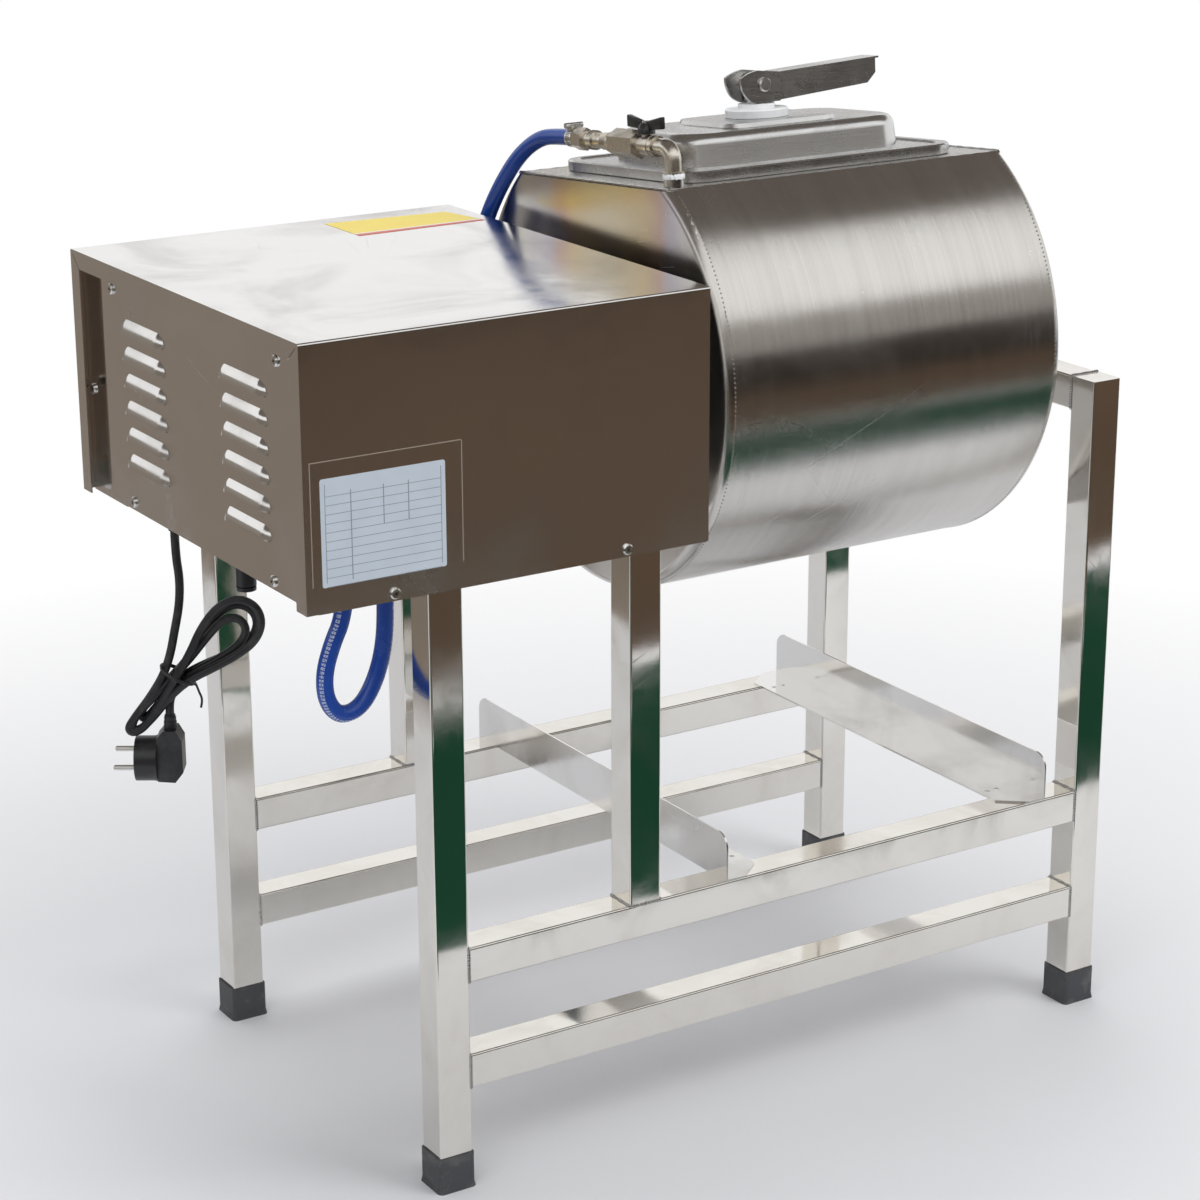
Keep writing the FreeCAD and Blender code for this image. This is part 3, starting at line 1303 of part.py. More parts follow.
os.makedirs("parts", exist_ok=True)
for name, shape in nodes.items():
    if isinstance(shape, list):
        shape = Part.makeCompound(shape)
    if not shape.isValid():
        print("not valid:", name)
    shape.exportStep("parts/" + name + ".step")
print(len(nodes), "nodes written")
print("axis_y", round(axis_y, 2), "axis_z", round(axis_z, 2), "left_x", round(left_x, 2))
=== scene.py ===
import math
import bmesh
import bpy
from mathutils import Matrix, Vector


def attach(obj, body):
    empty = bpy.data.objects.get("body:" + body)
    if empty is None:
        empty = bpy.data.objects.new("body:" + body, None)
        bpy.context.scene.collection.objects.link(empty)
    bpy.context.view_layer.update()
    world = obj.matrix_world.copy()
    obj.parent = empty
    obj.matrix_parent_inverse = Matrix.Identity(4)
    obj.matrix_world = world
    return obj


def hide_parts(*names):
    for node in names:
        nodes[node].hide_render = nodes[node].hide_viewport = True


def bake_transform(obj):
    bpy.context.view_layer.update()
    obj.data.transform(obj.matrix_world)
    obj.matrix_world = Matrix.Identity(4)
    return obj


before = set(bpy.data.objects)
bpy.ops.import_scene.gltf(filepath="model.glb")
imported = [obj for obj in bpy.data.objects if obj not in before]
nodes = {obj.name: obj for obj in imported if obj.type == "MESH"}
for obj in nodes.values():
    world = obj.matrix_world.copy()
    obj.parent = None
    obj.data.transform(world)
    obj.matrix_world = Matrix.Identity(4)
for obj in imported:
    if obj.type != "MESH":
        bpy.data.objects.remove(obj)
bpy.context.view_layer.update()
pi = math.pi


# camera where the photograph was taken from
cameraPlace = {"x": -1.3705, "y": -2.1669, "z": 1.2343, "turn": -32.208, "lift": 17.983, "roll": -0.22,
               "lens": 91.66}
cameraData = bpy.data.cameras.new("camera")
cameraData.lens = cameraPlace["lens"]
camera = bpy.data.objects.new("camera", cameraData)
bpy.context.scene.collection.objects.link(camera)
camera.matrix_world = (Matrix.Translation((cameraPlace["x"], cameraPlace["y"], cameraPlace["z"]))
                       @ Matrix.Rotation(math.radians(cameraPlace["turn"]), 4, "Z")
                       @ Matrix.Rotation(math.radians(90 - cameraPlace["lift"]), 4, "X")
                       @ Matrix.Rotation(math.radians(cameraPlace["roll"]), 4, "Z"))
bpy.context.scene.camera = camera
bpy.context.scene.view_settings.view_transform = "Standard"


# small helpers for meshes
def addObject(name, mesh, body, material=None):
    piece = bpy.data.objects.new(name, mesh)
    bpy.context.scene.collection.objects.link(piece)
    if body:
        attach(piece, body)
    if material:
        mesh.materials.clear()
        mesh.materials.append(material)
    return piece


def finishMesh(bm, name, body, material=None, smooth=True, sharp=35):
    bmesh.ops.remove_doubles(bm, verts=bm.verts, dist=1e-6)
    bmesh.ops.recalc_face_normals(bm, faces=bm.faces)
    mesh = bpy.data.meshes.new(name)
    bm.to_mesh(mesh)
    bm.free()
    for face in mesh.polygons:
        face.use_smooth = smooth
    if smooth:
        mesh.set_sharp_from_angle(angle=math.radians(sharp))
    return addObject(name, mesh, body, material)


def splineCurve(name, points, radius=0.0, resolution=12):
    curve = bpy.data.curves.new(name, "CURVE")
    curve.dimensions = "3D"
    spline = curve.splines.new("NURBS")
    spline.points.add(len(points) - 1)
    for knot, point in zip(spline.points, points):
        knot.co = (*point, 1)
    spline.order_u = 3
    spline.use_endpoint_u = True
    spline.resolution_u = resolution
    curve.bevel_depth = radius
    curve.bevel_resolution = 5
    curve.use_fill_caps = radius > 0
    holder = bpy.data.objects.new(name, curve)
    bpy.context.scene.collection.objects.link(holder)
    bpy.context.view_layer.update()
    mesh = bpy.data.meshes.new_from_object(holder.evaluated_get(bpy.context.evaluated_depsgraph_get()))
    bpy.data.objects.remove(holder)
    bpy.data.curves.remove(curve)
    return mesh


def splinePath(points, resolution=12):
    mesh = splineCurve("path", points, 0.0, resolution)
    path = [vertex.co.copy() for vertex in mesh.vertices]
    bpy.data.meshes.remove(mesh)
    return path


def tubeAlong(name, points, radius, body, material=None, resolution=12):
    mesh = splineCurve(name, points, radius, resolution)
    for face in mesh.polygons:
        face.use_smooth = True
    return addObject(name, mesh, body, material)


def pathLength(path):
    return sum((b - a).length for a, b in zip(path, path[1:]))


def millimetres(points):
    return [Vector(point) / 1000 for point in points]


# cords: two vacuum hoses and the mains lead
hose = {
    "diameter": 0.014,
    "drum": [(4.9, 61.2, 802.1), (4.6, 83, 800.3), (1.5, 106, 796), (-5.5, 128, 780), (-13.5, 146, 753),
             (-20.5, 161, 722), (-24, 173, 688), (-24.5, 181, 652), (-24.2, 185, 614), (-24.8, 184, 576),
             (-25, 178, 538), (-29, 170, 502), (-42, 163, 470), (-65, 159, 449), (-94, 158, 449),
             (-116, 160, 468), (-124, 162, 493), (-125, 162.5, 516)],
    "loop": [(-299.8, -151.4, 516), (-299.4, -151.2, 484), (-302.5, -151.0, 454), (-311.5, -151.2, 429),
             (-325, -151.6, 411), (-343, -151.9, 408), (-354, -151.6, 422), (-355.5, -151.2, 444),
             (-347.5, -151.0, 468), (-336.5, -151.2, 489), (-333.5, -151.4, 516)],
}
drumHosePoints = millimetres(hose["drum"])
drumHose = tubeAlong("drumHose", drumHosePoints, hose["diameter"] / 2, None, resolution=10)
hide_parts("drum_hose")
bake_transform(drumHose)
drumHosePath = splinePath(drumHosePoints)

loopPoints = millimetres(hose["loop"])
loopHose = tubeAlong("loopHose", loopPoints, hose["diameter"] / 2, "stand", resolution=10)
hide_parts("loop_hose")
loopPath = splinePath(loopPoints)

lead = {
    "diameter": 0.0074,
    "origin": Vector((-360.1, 108.6, 0)),
    "right": Vector((0.846, -0.533, 0)).normalized(),
    "back": Vector((0.533, 0.846, 0)).normalized(),
    "drop": [(-360.1, 108.6, 498), (-360.1, 108.6, 476), (-357.9, 107.3, 454), (-359.2, 108.1, 431)],
    "first": [(-4, 408), (-8, 389), (-15, 369)],
    "foldA": [(-27, 350), (-40, 333), (-48, 321), (-42, 317), (-31, 325), (-18, 345)],
    "outer": [(-4, 368), (9, 390), (19, 412), (33, 431), (50, 440), (66, 434), (72, 419), (66, 402),
              (50, 389), (28, 377), (8, 367)],
    "foldB": [(-10, 351), (-24, 333), (-38, 319), (-45, 322), (-40, 334), (-24, 350)],
    "inner": [(-6, 368), (10, 386), (24, 404), (38, 419), (52, 420), (58, 408), (50, 395), (32, 383),
              (10, 371)],
    "foldC": [(-8, 357), (-22, 340), (-34, 326), (-38, 333), (-26, 350), (-10, 365)],
    "third": [(4, 379), (16, 399), (30, 420), (47, 431), (62, 426), (67, 411), (58, 396), (38, 384),
              (14, 374)],
    "end": [(-2, 365), (-8, 354), (-11, 345), (-11.5, 339), (-11.5, 333)],
}


def inHank(points, back):
    return [lead["origin"] + lead["right"] * s + lead["back"] * back + Vector((0, 0, z)) for s, z in points]


leadPoints = [Vector(point) for point in lead["drop"]]
leadPoints += inHank(lead["first"], -2.0) + inHank(lead["foldA"], -4.0) + inHank(lead["outer"], -6.8)
leadPoints += inHank(lead["foldB"], -3.5) + inHank(lead["inner"], 0.4)
leadPoints += inHank(lead["foldC"], 3.6) + inHank(lead["third"], 6.9) + inHank(lead["end"][:2], 4.0)
leadPoints += inHank(lead["end"][2:3], 1.5) + inHank(lead["end"][3:], 0)
leadPoints = millimetres(leadPoints)
powerLead = tubeAlong("powerLead", leadPoints, lead["diameter"] / 2, "stand", resolution=8)
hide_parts("power_cord", "cord_hank")
leadPath = splinePath(leadPoints, 10)
print("cords", *[round(pathLength(path), 3) for path in (drumHosePath, loopPath, leadPath)])


# node helpers for materials
def add(tree, kind, inputs=None, **settings):
    node = tree.nodes.new(kind)
    for key, value in settings.items():
        setattr(node, key, value)
    for key, value in (inputs or {}).items():
        if isinstance(value, bpy.types.NodeSocket):
            tree.links.new(value, node.inputs[key])
        else:
            node.inputs[key].default_value = value
    return node


def maths(tree, operation, first, second=0.0, third=0.0):
    return add(tree, "ShaderNodeMath", {0: first, 1: second, 2: third}, operation=operation).outputs[0]


def remap(tree, value, low, high, outLow=0.0, outHigh=1.0):
    return add(tree, "ShaderNodeMapRange", {"Value": value, "From Min": low, "From Max": high,
                                            "To Min": outLow, "To Max": outHigh}).outputs[0]


def mixColour(tree, factor, first, second, blend="MIX"):
    return add(tree, "ShaderNodeMix", {"Factor": factor, 6: first, 7: second}, data_type="RGBA",
               blend_type=blend).outputs[2]


def noiseAt(tree, vector, scale, detail=3.0, roughness=0.5, distortion=0.0):
    return add(tree, "ShaderNodeTexNoise", {"Vector": vector, "Scale": scale, "Detail": detail,
                                            "Roughness": roughness, "Distortion": distortion}).outputs[0]


def scaled(tree, vector, factors):
    return add(tree, "ShaderNodeVectorMath", {0: vector, 1: factors}, operation="MULTIPLY").outputs[0]


def newGroup(name, inputs, outputs):
    tree = bpy.data.node_groups.new(name, "ShaderNodeTree")
    for label, kind in inputs:
        tree.interface.new_socket(label, in_out="INPUT", socket_type=kind)
    for label, kind in outputs:
        tree.interface.new_socket(label, in_out="OUTPUT", socket_type=kind)
    return tree, tree.nodes.new("NodeGroupInput").outputs, tree.nodes.new("NodeGroupOutput").inputs


def steelWearGroup():
    # smears, handling marks, hair scratches and specks on sheet metal
    vectorKind, floatKind = "NodeSocketVector", "NodeSocketFloat"
    tree, given, out = newGroup("steelWear",
                                [("Vector", vectorKind), ("Grain", vectorKind), ("Smear Scale", floatKind)],
                                [("Grain", floatKind), ("Smear", floatKind), ("Scratch", floatKind),
                                 ("Speck", floatKind)])
    place = given["Vector"]
    tree.links.new(noiseAt(tree, scaled(tree, place, given["Grain"]), 1.0, 4.0, 0.6), out["Grain"])
    smear = noiseAt(tree, place, given["Smear Scale"], 5.0, 0.62, 0.8)
    tree.links.new(remap(tree, smear, 0.42, 0.72), out["Smear"])
    hair = None
    for turn, reach in ((0.5, 4.0), (-0.9, 5.0), (1.7, 3.2)):
        turned = add(tree, "ShaderNodeVectorRotate",
                     {"Vector": place, "Axis": (0.4, 1.0, 0.2), "Angle": turn},
                     rotation_type="AXIS_ANGLE").outputs[0]
        line = noiseAt(tree, scaled(tree, turned, (reach, reach * 1.5, 420.0)), 1.0, 1.0)
        line = remap(tree, line, 0.755, 0.775)
        hair = line if hair is None else maths(tree, "MAXIMUM", hair, line)
    patch = remap(tree, noiseAt(tree, place, 9.0, 2.0), 0.5, 0.62)
    tree.links.new(maths(tree, "MULTIPLY", hair, patch), out["Scratch"])
    speck = add(tree, "ShaderNodeTexVoronoi", {"Vector": place, "Scale": 190.0}).outputs["Distance"]
    some = remap(tree, noiseAt(tree, place, 24.0, 2.0), 0.55, 0.66)
    tree.links.new(maths(tree, "MULTIPLY", remap(tree, speck, 0.16, 0.1), some), out["Speck"])
    return tree


def mouldedGroup():
    vectorKind, floatKind = "NodeSocketVector", "NodeSocketFloat"
    tree, given, out = newGroup("mouldedSurface", [("Vector", vectorKind), ("Scale", floatKind)],
                                [("Grain", floatKind), ("Dust", floatKind)])
    fine = noiseAt(tree, given["Vector"], given["Scale"], 3.0, 0.6)
    tree.links.new(fine, out["Grain"])
    tree.links.new(remap(tree, noiseAt(tree, given["Vector"], 38.0, 4.0, 0.65), 0.5, 0.8), out["Dust"])
    return tree


steelWear = steelWearGroup()
moulded = mouldedGroup()


def placeGroup(tree, group, inputs):
    return add(tree, "ShaderNodeGroup", inputs, node_tree=group).outputs


def newMaterial(name, metallic=0.0, **constants):
    material = bpy.data.materials.new(name)
    material.use_nodes = True
    tree = material.node_tree
    shader = tree.nodes["Principled BSDF"]
    shader.inputs["Metallic"].default_value = metallic
    for key, value in constants.items():
        shader.inputs[key.replace("_", " ")].default_value = value
    place = tree.nodes.new("ShaderNodeTexCoord").outputs["Object"]
    return material, tree, shader, place


def bump(tree, shader, height, strength, distance):
    normal = add(tree, "ShaderNodeBump", {"Height": height, "Strength": strength, "Distance": distance})
    tree.links.new(normal.outputs[0], shader.inputs["Normal"])


def steel(name, colour, dark, grain, rough, smear=9.0, smearRough=0.1, scratch=0.25, bumpGrain=0.15,
          wave=0.0, waveScale=7.0):
    # stainless sheet or tube: grain, smears, hair scratches and a gentle wave in the surface
    material, tree, shader, place = newMaterial(name, 1.0)
    wear = placeGroup(tree, steelWear, {"Vector": place, "Grain": grain, "Smear Scale": smear})
    tone = mixColour(tree, maths(tree, "MULTIPLY", wear["Smear"], 0.55), (*colour, 1), (*dark, 1))
    tone = mixColour(tree, maths(tree, "MULTIPLY", wear["Scratch"], scratch), tone, (0.93, 0.92, 0.9, 1))
    tone = mixColour(tree, maths(tree, "MULTIPLY", wear["Speck"], scratch), tone, (0.95, 0.95, 0.93, 1))
    tree.links.new(tone, shader.inputs["Base Color"])
    level = maths(tree, "MULTIPLY_ADD", wear["Smear"], smearRough, rough)
    level = maths(tree, "MULTIPLY_ADD", wear["Scratch"], scratch * 0.6, level)
    level = maths(tree, "MULTIPLY_ADD", maths(tree, "SUBTRACT", wear["Grain"], 0.5), rough * 0.5, level)
    tree.links.new(level, shader.inputs["Roughness"])
    height = maths(tree, "MULTIPLY", wear["Grain"], bumpGrain)
    if wave:
        height = maths(tree, "MULTIPLY_ADD", noiseAt(tree, place, waveScale, 2.0), wave, height)
    height = maths(tree, "MULTIPLY_ADD", wear["Scratch"], scratch * -0.15, height)
    bump(tree, shader, height, 1.0, 0.0004)
    return material


def plastic(name, colour, rough, grain=900.0, dust=0.12, depth=0.06):
    # moulded plastic, rubber or paint: fine grain and a little dust
    dustColour = (0.42, 0.4, 0.37)
    material, tree, shader, place = newMaterial(name)
    surface = placeGroup(tree, moulded, {"Vector": place, "Scale": grain})
    tone = mixColour(tree, maths(tree, "MULTIPLY", surface["Dust"], dust), (*colour, 1), (*dustColour, 1))
    tree.links.new(tone, shader.inputs["Base Color"])
    level = maths(tree, "MULTIPLY_ADD", surface["Dust"], 0.22, rough)
    tree.links.new(level, shader.inputs["Roughness"])
    bump(tree, shader, surface["Grain"], depth, 0.0006)
    return material


materials = {}
materials["polished_tube"] = steel("polishedTube", (0.80, 0.775, 0.73), (0.66, 0.62, 0.56),
                                   (60.0, 60.0, 60.0), 0.06, 12.0, 0.09, 0.08, 0.02, 1.1, 9.0)
materials["polished_sheet"] = steel("polishedSheet", (0.80, 0.79, 0.775), (0.64, 0.62, 0.60),
                                    (14.0, 700.0, 14.0), 0.12, 7.0, 0.17, 0.16, 0.05, 0.8, 4.0)
materials["satin_pressing"] = steel("satinPressing", (0.66, 0.66, 0.655), (0.46, 0.455, 0.45),
                                    (30.0, 900.0, 900.0), 0.23, 14.0, 0.12, 0.3, 0.14, 0.5, 22.0)
materials["machined_steel"] = steel("machinedSteel", (0.68, 0.68, 0.68), (0.5, 0.49, 0.47),
                                    (900.0, 60.0, 60.0), 0.24, 30.0, 0.14, 0.3, 0.12)
materials["zinc_hardware"] = steel("zincHardware", (0.75, 0.75, 0.74), (0.55, 0.54, 0.52),
                                   (300.0, 300.0, 300.0), 0.22, 60.0, 0.18, 0.3, 0.1)
materials["nickel_brass"] = steel("nickelBrass", (0.70, 0.665, 0.60), (0.52, 0.42, 0.28),
                                  (500.0, 500.0, 500.0), 0.24, 70.0, 0.2, 0.3, 0.2)
materials["gauge_steel"] = steel("gaugeSteel", (0.76, 0.76, 0.75), (0.6, 0.6, 0.58), (400.0, 400.0, 400.0),
                                 0.16, 30.0, 0.1, 0.2, 0.05)
materials["foot_rubber"] = plastic("footRubber", (0.055, 0.056, 0.062), 0.55, 1400.0, 0.35, 0.12)
materials["seal_rubber"] = plastic("sealRubber", (0.82, 0.82, 0.79), 0.5, 900.0, 0.3, 0.08)
materials["white_nylon"] = plastic("whiteNylon", (0.90, 0.91, 0.91), 0.32, 500.0, 0.25, 0.05)
materials["black_plastic"] = plastic("blackPlastic", (0.018, 0.018, 0.02), 0.3, 1600.0, 0.1, 0.06)
materials["black_cord"] = plastic("blackCord", (0.016, 0.016, 0.018), 0.42, 1800.0, 0.12, 0.08)
materials["cast_housing"] = plastic("castHousing", (0.16, 0.25, 0.22), 0.45, 420.0, 0.3, 0.6)
materials["motor_paint"] = plastic("motorPaint", (0.27, 0.3, 0.33), 0.4, 600.0, 0.3, 0.25)
materials["board_green"] = plastic("boardGreen", (0.035, 0.2, 0.1), 0.4, 700.0, 0.25, 0.1)
materials["panel_face"] = plastic("panelFace", (0.72, 0.73, 0.74), 0.38, 1200.0, 0.25, 0.05)
materials["start_green"] = plastic("startGreen", (0.03, 0.42, 0.11), 0.22, 900.0, 0.1, 0.03)
materials["stop_red"] = plastic("stopRed", (0.62, 0.035, 0.03), 0.22, 900.0, 0.1, 0.03)
materials["needle_black"] = plastic("needleBlack", (0.015, 0.015, 0.015), 0.4, 900.0, 0.05, 0.03)
materials["dark_window"] = plastic("darkWindow", (0.012, 0.01, 0.012), 0.08, 900.0, 0.06, 0.01)
print("common materials made")

# drum: its axis in the stand, its left face and the middle of the heat colours
drum = {"y": -0.0039, "z": 0.6184, "tilt": -4.8, "leftFace": -0.0096, "tint": (0.0, -0.02, 0.755)}
drumFrame = (Matrix.Translation((0, drum["y"], drum["z"]))
             @ Matrix.Rotation(math.radians(drum["tilt"]), 4, "X"))


def makeDrumMaterial():
    # brushed round the axis, with smears, and heat colours by the hatch weld
    material, tree, shader, place = newMaterial("brushedDrum", 1.0, Anisotropic=0.65,
                                                Anisotropic_Rotation=0.25)
    wear = placeGroup(tree, steelWear, {"Vector": place, "Grain": (1500.0, 7.0, 7.0), "Smear Scale": 6.0})
    broad = noiseAt(tree, scaled(tree, place, (90.0, 3.0, 3.0)), 1.0, 3.0, 0.6)
    tone = mixColour(tree, wear["Grain"], (0.55, 0.53, 0.50, 1), (0.74, 0.72, 0.69, 1))
    tone = mixColour(tree, maths(tree, "MULTIPLY", remap(tree, broad, 0.4, 0.75), 0.35), tone,
                     (0.50, 0.47, 0.44, 1))
    tone = mixColour(tree, maths(tree, "MULTIPLY", wear["Scratch"], 0.12), tone, (0.95, 0.94, 0.92, 1))
    tone = mixColour(tree, maths(tree, "MULTIPLY", wear["Speck"], 0.5), tone, (0.97, 0.97, 0.95, 1))
    near = add(tree, "ShaderNodeVectorMath", {0: place, 1: drum["tint"]},
               operation="DISTANCE").outputs["Value"]
    wobble = maths(tree, "MULTIPLY_ADD", noiseAt(tree, place, 16.0, 2.0), 0.05, near)
    heat = add(tree, "ShaderNodeValToRGB", {"Fac": wobble})
    ramp = heat.color_ramp
    ramp.elements[0].position = 0.03
    ramp.elements[0].color = (0.86, 0.80, 0.62, 1)
    ramp.elements[1].position = 0.16
    ramp.elements[1].color = (1, 1, 1, 1)
    for position, colour in ((0.075, (0.92, 0.74, 0.42, 1)), (0.1, (0.80, 0.55, 0.45, 1)),
                             (0.12, (0.72, 0.70, 0.86, 1))):
        ramp.elements.new(position).color = colour
    atEnd = add(tree, "ShaderNodeSeparateXYZ", {"Vector": place}).outputs["X"]
    atEnd = remap(tree, atEnd, drum["leftFace"] + 0.0015, drum["leftFace"] + 0.0005)
    tone = mixColour(tree, maths(tree, "MULTIPLY", atEnd, 0.75), tone, heat.outputs[0], "MULTIPLY")
    tree.links.new(tone, shader.inputs["Base Color"])
    level = maths(tree, "MULTIPLY_ADD", wear["Smear"], 0.1, 0.2)
    level = maths(tree, "MULTIPLY_ADD", wear["Scratch"], 0.1, level)
    tree.links.new(level, shader.inputs["Roughness"])
    turned = add(tree, "ShaderNodeTangent", direction_type="RADIAL", axis="X").outputs[0]
    tree.links.new(turned, shader.inputs["Tangent"])
    height = maths(tree, "MULTIPLY_ADD", wear["Scratch"], -0.1, wear["Grain"])
    height = maths(tree, "MULTIPLY_ADD", noiseAt(tree, place, 5.0, 2.0), 3.0, height)
    bump(tree, shader, height, 0.35, 0.0004)
    return material


materials["brushed_drum"] = makeDrumMaterial()


def makeHoseMaterial():
    # glossy blue with a row of white dashes along the outside of the bend
    material, tree, shader, place = newMaterial("blueHose", 0.0, IOR=1.5)
    unwrapped = add(tree, "ShaderNodeUVMap", uv_map="UVMap").outputs[0]
    parts = add(tree, "ShaderNodeSeparateXYZ", {"Vector": unwrapped}).outputs
    surface = placeGroup(tree, moulded, {"Vector": place, "Scale": 800.0})
    dash = maths(tree, "FRACT", maths(tree, "MULTIPLY", parts["X"], 70.0))
    gap = remap(tree, maths(tree, "ABSOLUTE", maths(tree, "SUBTRACT", dash, 0.5)), 0.36, 0.33)
    word = noiseAt(tree, scaled(tree, unwrapped, (300.0, 40.0, 0.0)), 1.0, 1.0)
    word = remap(tree, word, 0.44, 0.48)
    band = remap(tree, maths(tree, "ABSOLUTE", maths(tree, "SUBTRACT", parts["Y"], 0.36)), 0.045, 0.04)
    mark = maths(tree, "MULTIPLY", maths(tree, "MULTIPLY", gap, band), word)
    tone = mixColour(tree, maths(tree, "MULTIPLY", surface["Dust"], 0.25), (0.012, 0.06, 0.33, 1),
                     (0.02, 0.085, 0.38, 1))
    tone = mixColour(tree, maths(tree, "MULTIPLY", mark, 0.75), tone, (0.62, 0.68, 0.78, 1))
    tree.links.new(tone, shader.inputs["Base Color"])
    tree.links.new(maths(tree, "MULTIPLY_ADD", surface["Dust"], 0.18, 0.2), shader.inputs["Roughness"])
    bump(tree, shader, surface["Grain"], 0.05, 0.0006)
    return material


materials["blue_hose"] = makeHoseMaterial()
for piece in (drumHose, loopHose):
    piece.data.materials.clear()
    piece.data.materials.append(materials["blue_hose"])
powerLead.data.materials.clear()
powerLead.data.materials.append(materials["black_cord"])
for name, node in nodes.items():
    for holder in node.material_slots:
        key = holder.material.name.split(".")[0]
        if key in materials:
            holder.material = materials[key]
        else:
            print("no material for", name, key)
print("materials set")


# helpers for the small pieces that only the scene has


def addBox(bm, low, high, bevel=0.0, matrix=None):
    low, high = Vector(low), Vector(high)
    spot = Matrix.Translation((low + high) / 2) @ Matrix.Diagonal((*(high - low), 1))
    verts = bmesh.ops.create_cube(bm, size=1.0, matrix=spot)["verts"]
    if bevel:
        edges = list({edge for vert in verts for edge in vert.link_edges})
        made = bmesh.ops.bevel(bm, geom=edges, offset=bevel, segments=3, profile=0.5, affect="EDGES",
                               material=-1)
        bevelled = {vert for face in made["faces"] for vert in face.verts}
        verts = list(bevelled | {vert for vert in verts if vert.is_valid})
    if matrix:
        bmesh.ops.transform(bm, matrix=matrix, verts=verts)
    return verts


def addTurned(bm, profile, place, axis, segments=32):
    # profile is a list of (radius, height) from the bottom to the top of a turned piece
    before = set(bm.verts)
    verts = [bm.verts.new((radius, 0, height)) for radius, height in profile]
    edges = [bm.edges.new(pair) for pair in zip(verts, verts[1:])]
    bmesh.ops.spin(bm, geom=verts + edges, cent=(0, 0, 0), axis=(0, 0, 1), angle=2 * pi,
                   steps=segments, use_merge=True)
    turned = [vert for vert in bm.verts if vert not in before]
    turn = Vector((0, 0, 1)).rotation_difference(Vector(axis)).to_matrix().to_4x4()
    bmesh.ops.transform(bm, matrix=Matrix.Translation(place) @ turn, verts=turned)


def letter(name, text, size, place, turn, body, material, depth=0.0002):
    data = bpy.data.curves.new(name, "FONT")
    data.body = text
    data.size = size
    data.align_x = "CENTER"
    data.align_y = "CENTER"
    data.extrude = depth
    holder = bpy.data.objects.new(name, data)
    bpy.context.scene.collection.objects.link(holder)
    bpy.context.view_layer.update()
    mesh = bpy.data.meshes.new_from_object(holder.evaluated_get(bpy.context.evaluated_depsgraph_get()))
    bpy.data.objects.remove(holder)
    mesh.transform(Matrix.Translation(place) @ turn)
    return addObject(name, mesh, body, material)


# drum: beads of the two seams and the weld round the flat
seam = {"left": -0.0016, "right": 0.3329, "radius": 0.1966, "bead": 0.0008, "count": 250, "open": 39.5}
bm = bmesh.new()
for x in (seam["left"], seam["right"]):
    for i in range(seam["count"]):
        angle = math.radians(90 + seam["open"] + (360 - 2 * seam["open"]) * (i + 0.5) / seam["count"])
        spot = Matrix.Translation((x, seam["radius"] * math.cos(angle), seam["radius"] * math.sin(angle)))
        bmesh.ops.create_icosphere(bm, subdivisions=1, radius=seam["bead"], matrix=drumFrame @ spot)
finishMesh(bm, "drumSeams", "drum", materials["brushed_drum"])

weld = {"radius": 0.0010, "half": 0.1187, "height": 0.1562, "left": -0.0062, "right": 0.3375}


def weldLine(name, start, end, body, radius, matrix=None, step=0.006):
    start, end = Vector(start), Vector(end)
    count = max(4, int((end - start).length / step))
    points = [start.lerp(end, i / count) + Vector((0, 0, radius * 0.3 * math.sin(i * 2.4 + start.x * 90)))
              for i in range(count + 1)]
    if matrix:
        points = [matrix @ point for point in points]
    return tubeAlong(name, points, radius, body, materials["machined_steel"], 2)


for name, low, high in (("weldLeft", (weld["left"], -weld["half"], weld["height"]),
                         (weld["left"], weld["half"], weld["height"])),
                        ("weldRight", (weld["right"], -weld["half"], weld["height"]),
                         (weld["right"], weld["half"], weld["height"])),
                        ("weldNear", (weld["left"], -weld["half"], weld["height"] - 0.001),
                         (weld["right"], -weld["half"], weld["height"] - 0.001)),
                        ("weldFar", (weld["left"], weld["half"], weld["height"] - 0.001),
                         (weld["right"], weld["half"], weld["height"] - 0.001))):
    weldLine(name, low, high, "drum", weld["radius"], drumFrame)

# stand: fillet welds where tubes meet, each a row of beads along the four sides of the tube
fillet = {"bead": 0.0017, "count": 13, "step": 0.0023, "half": 0.01495, "uneven": 0.0002}
joints = []
for y in (-0.1964, 0.1886):
    for z in (0.197, 0.103):
        joints += [((-0.2641, y, z), "X"), ((0.3699, y, z), "X")]
    joints.append(((-0.0951, y, 0.212), "Z"))
joints += [((0.3849, -0.1814, 0.578), "Y"), ((0.3849, 0.1736, 0.578), "Y")]
axes = {"X": ((0, 1, 0), (0, 0, 1)), "Y": ((1, 0, 0), (0, 0, 1)), "Z": ((1, 0, 0), (0, 1, 0))}
bm = bmesh.new()
for place, direction in joints:
    first, second = (Vector(v) for v in axes[direction])
    for side in (-1, 1):
        for along, across in ((first, second), (second, first)):
            for i in range(fillet["count"]):
                offset = (i - fillet["count"] // 2) * fillet["step"]
                spot = Vector(place) + along * side * fillet["half"] + across * offset
                spot += Vector((0, 0, fillet["uneven"] * math.sin(i * 5.1 + place[0] * 40)))
                bmesh.ops.create_icosphere(bm, subdivisions=1, radius=fillet["bead"],
                                           matrix=Matrix.Translation(spot))
finishMesh(bm, "standWelds", "stand", materials["machined_steel"])

# motor box: bare rating plate with ruled lines, film outline and yellow label
plate = {"x0": -0.3851, "x1": -0.2785, "z0": 0.537, "z1": 0.6215, "face": -0.2134, "rows": 11}


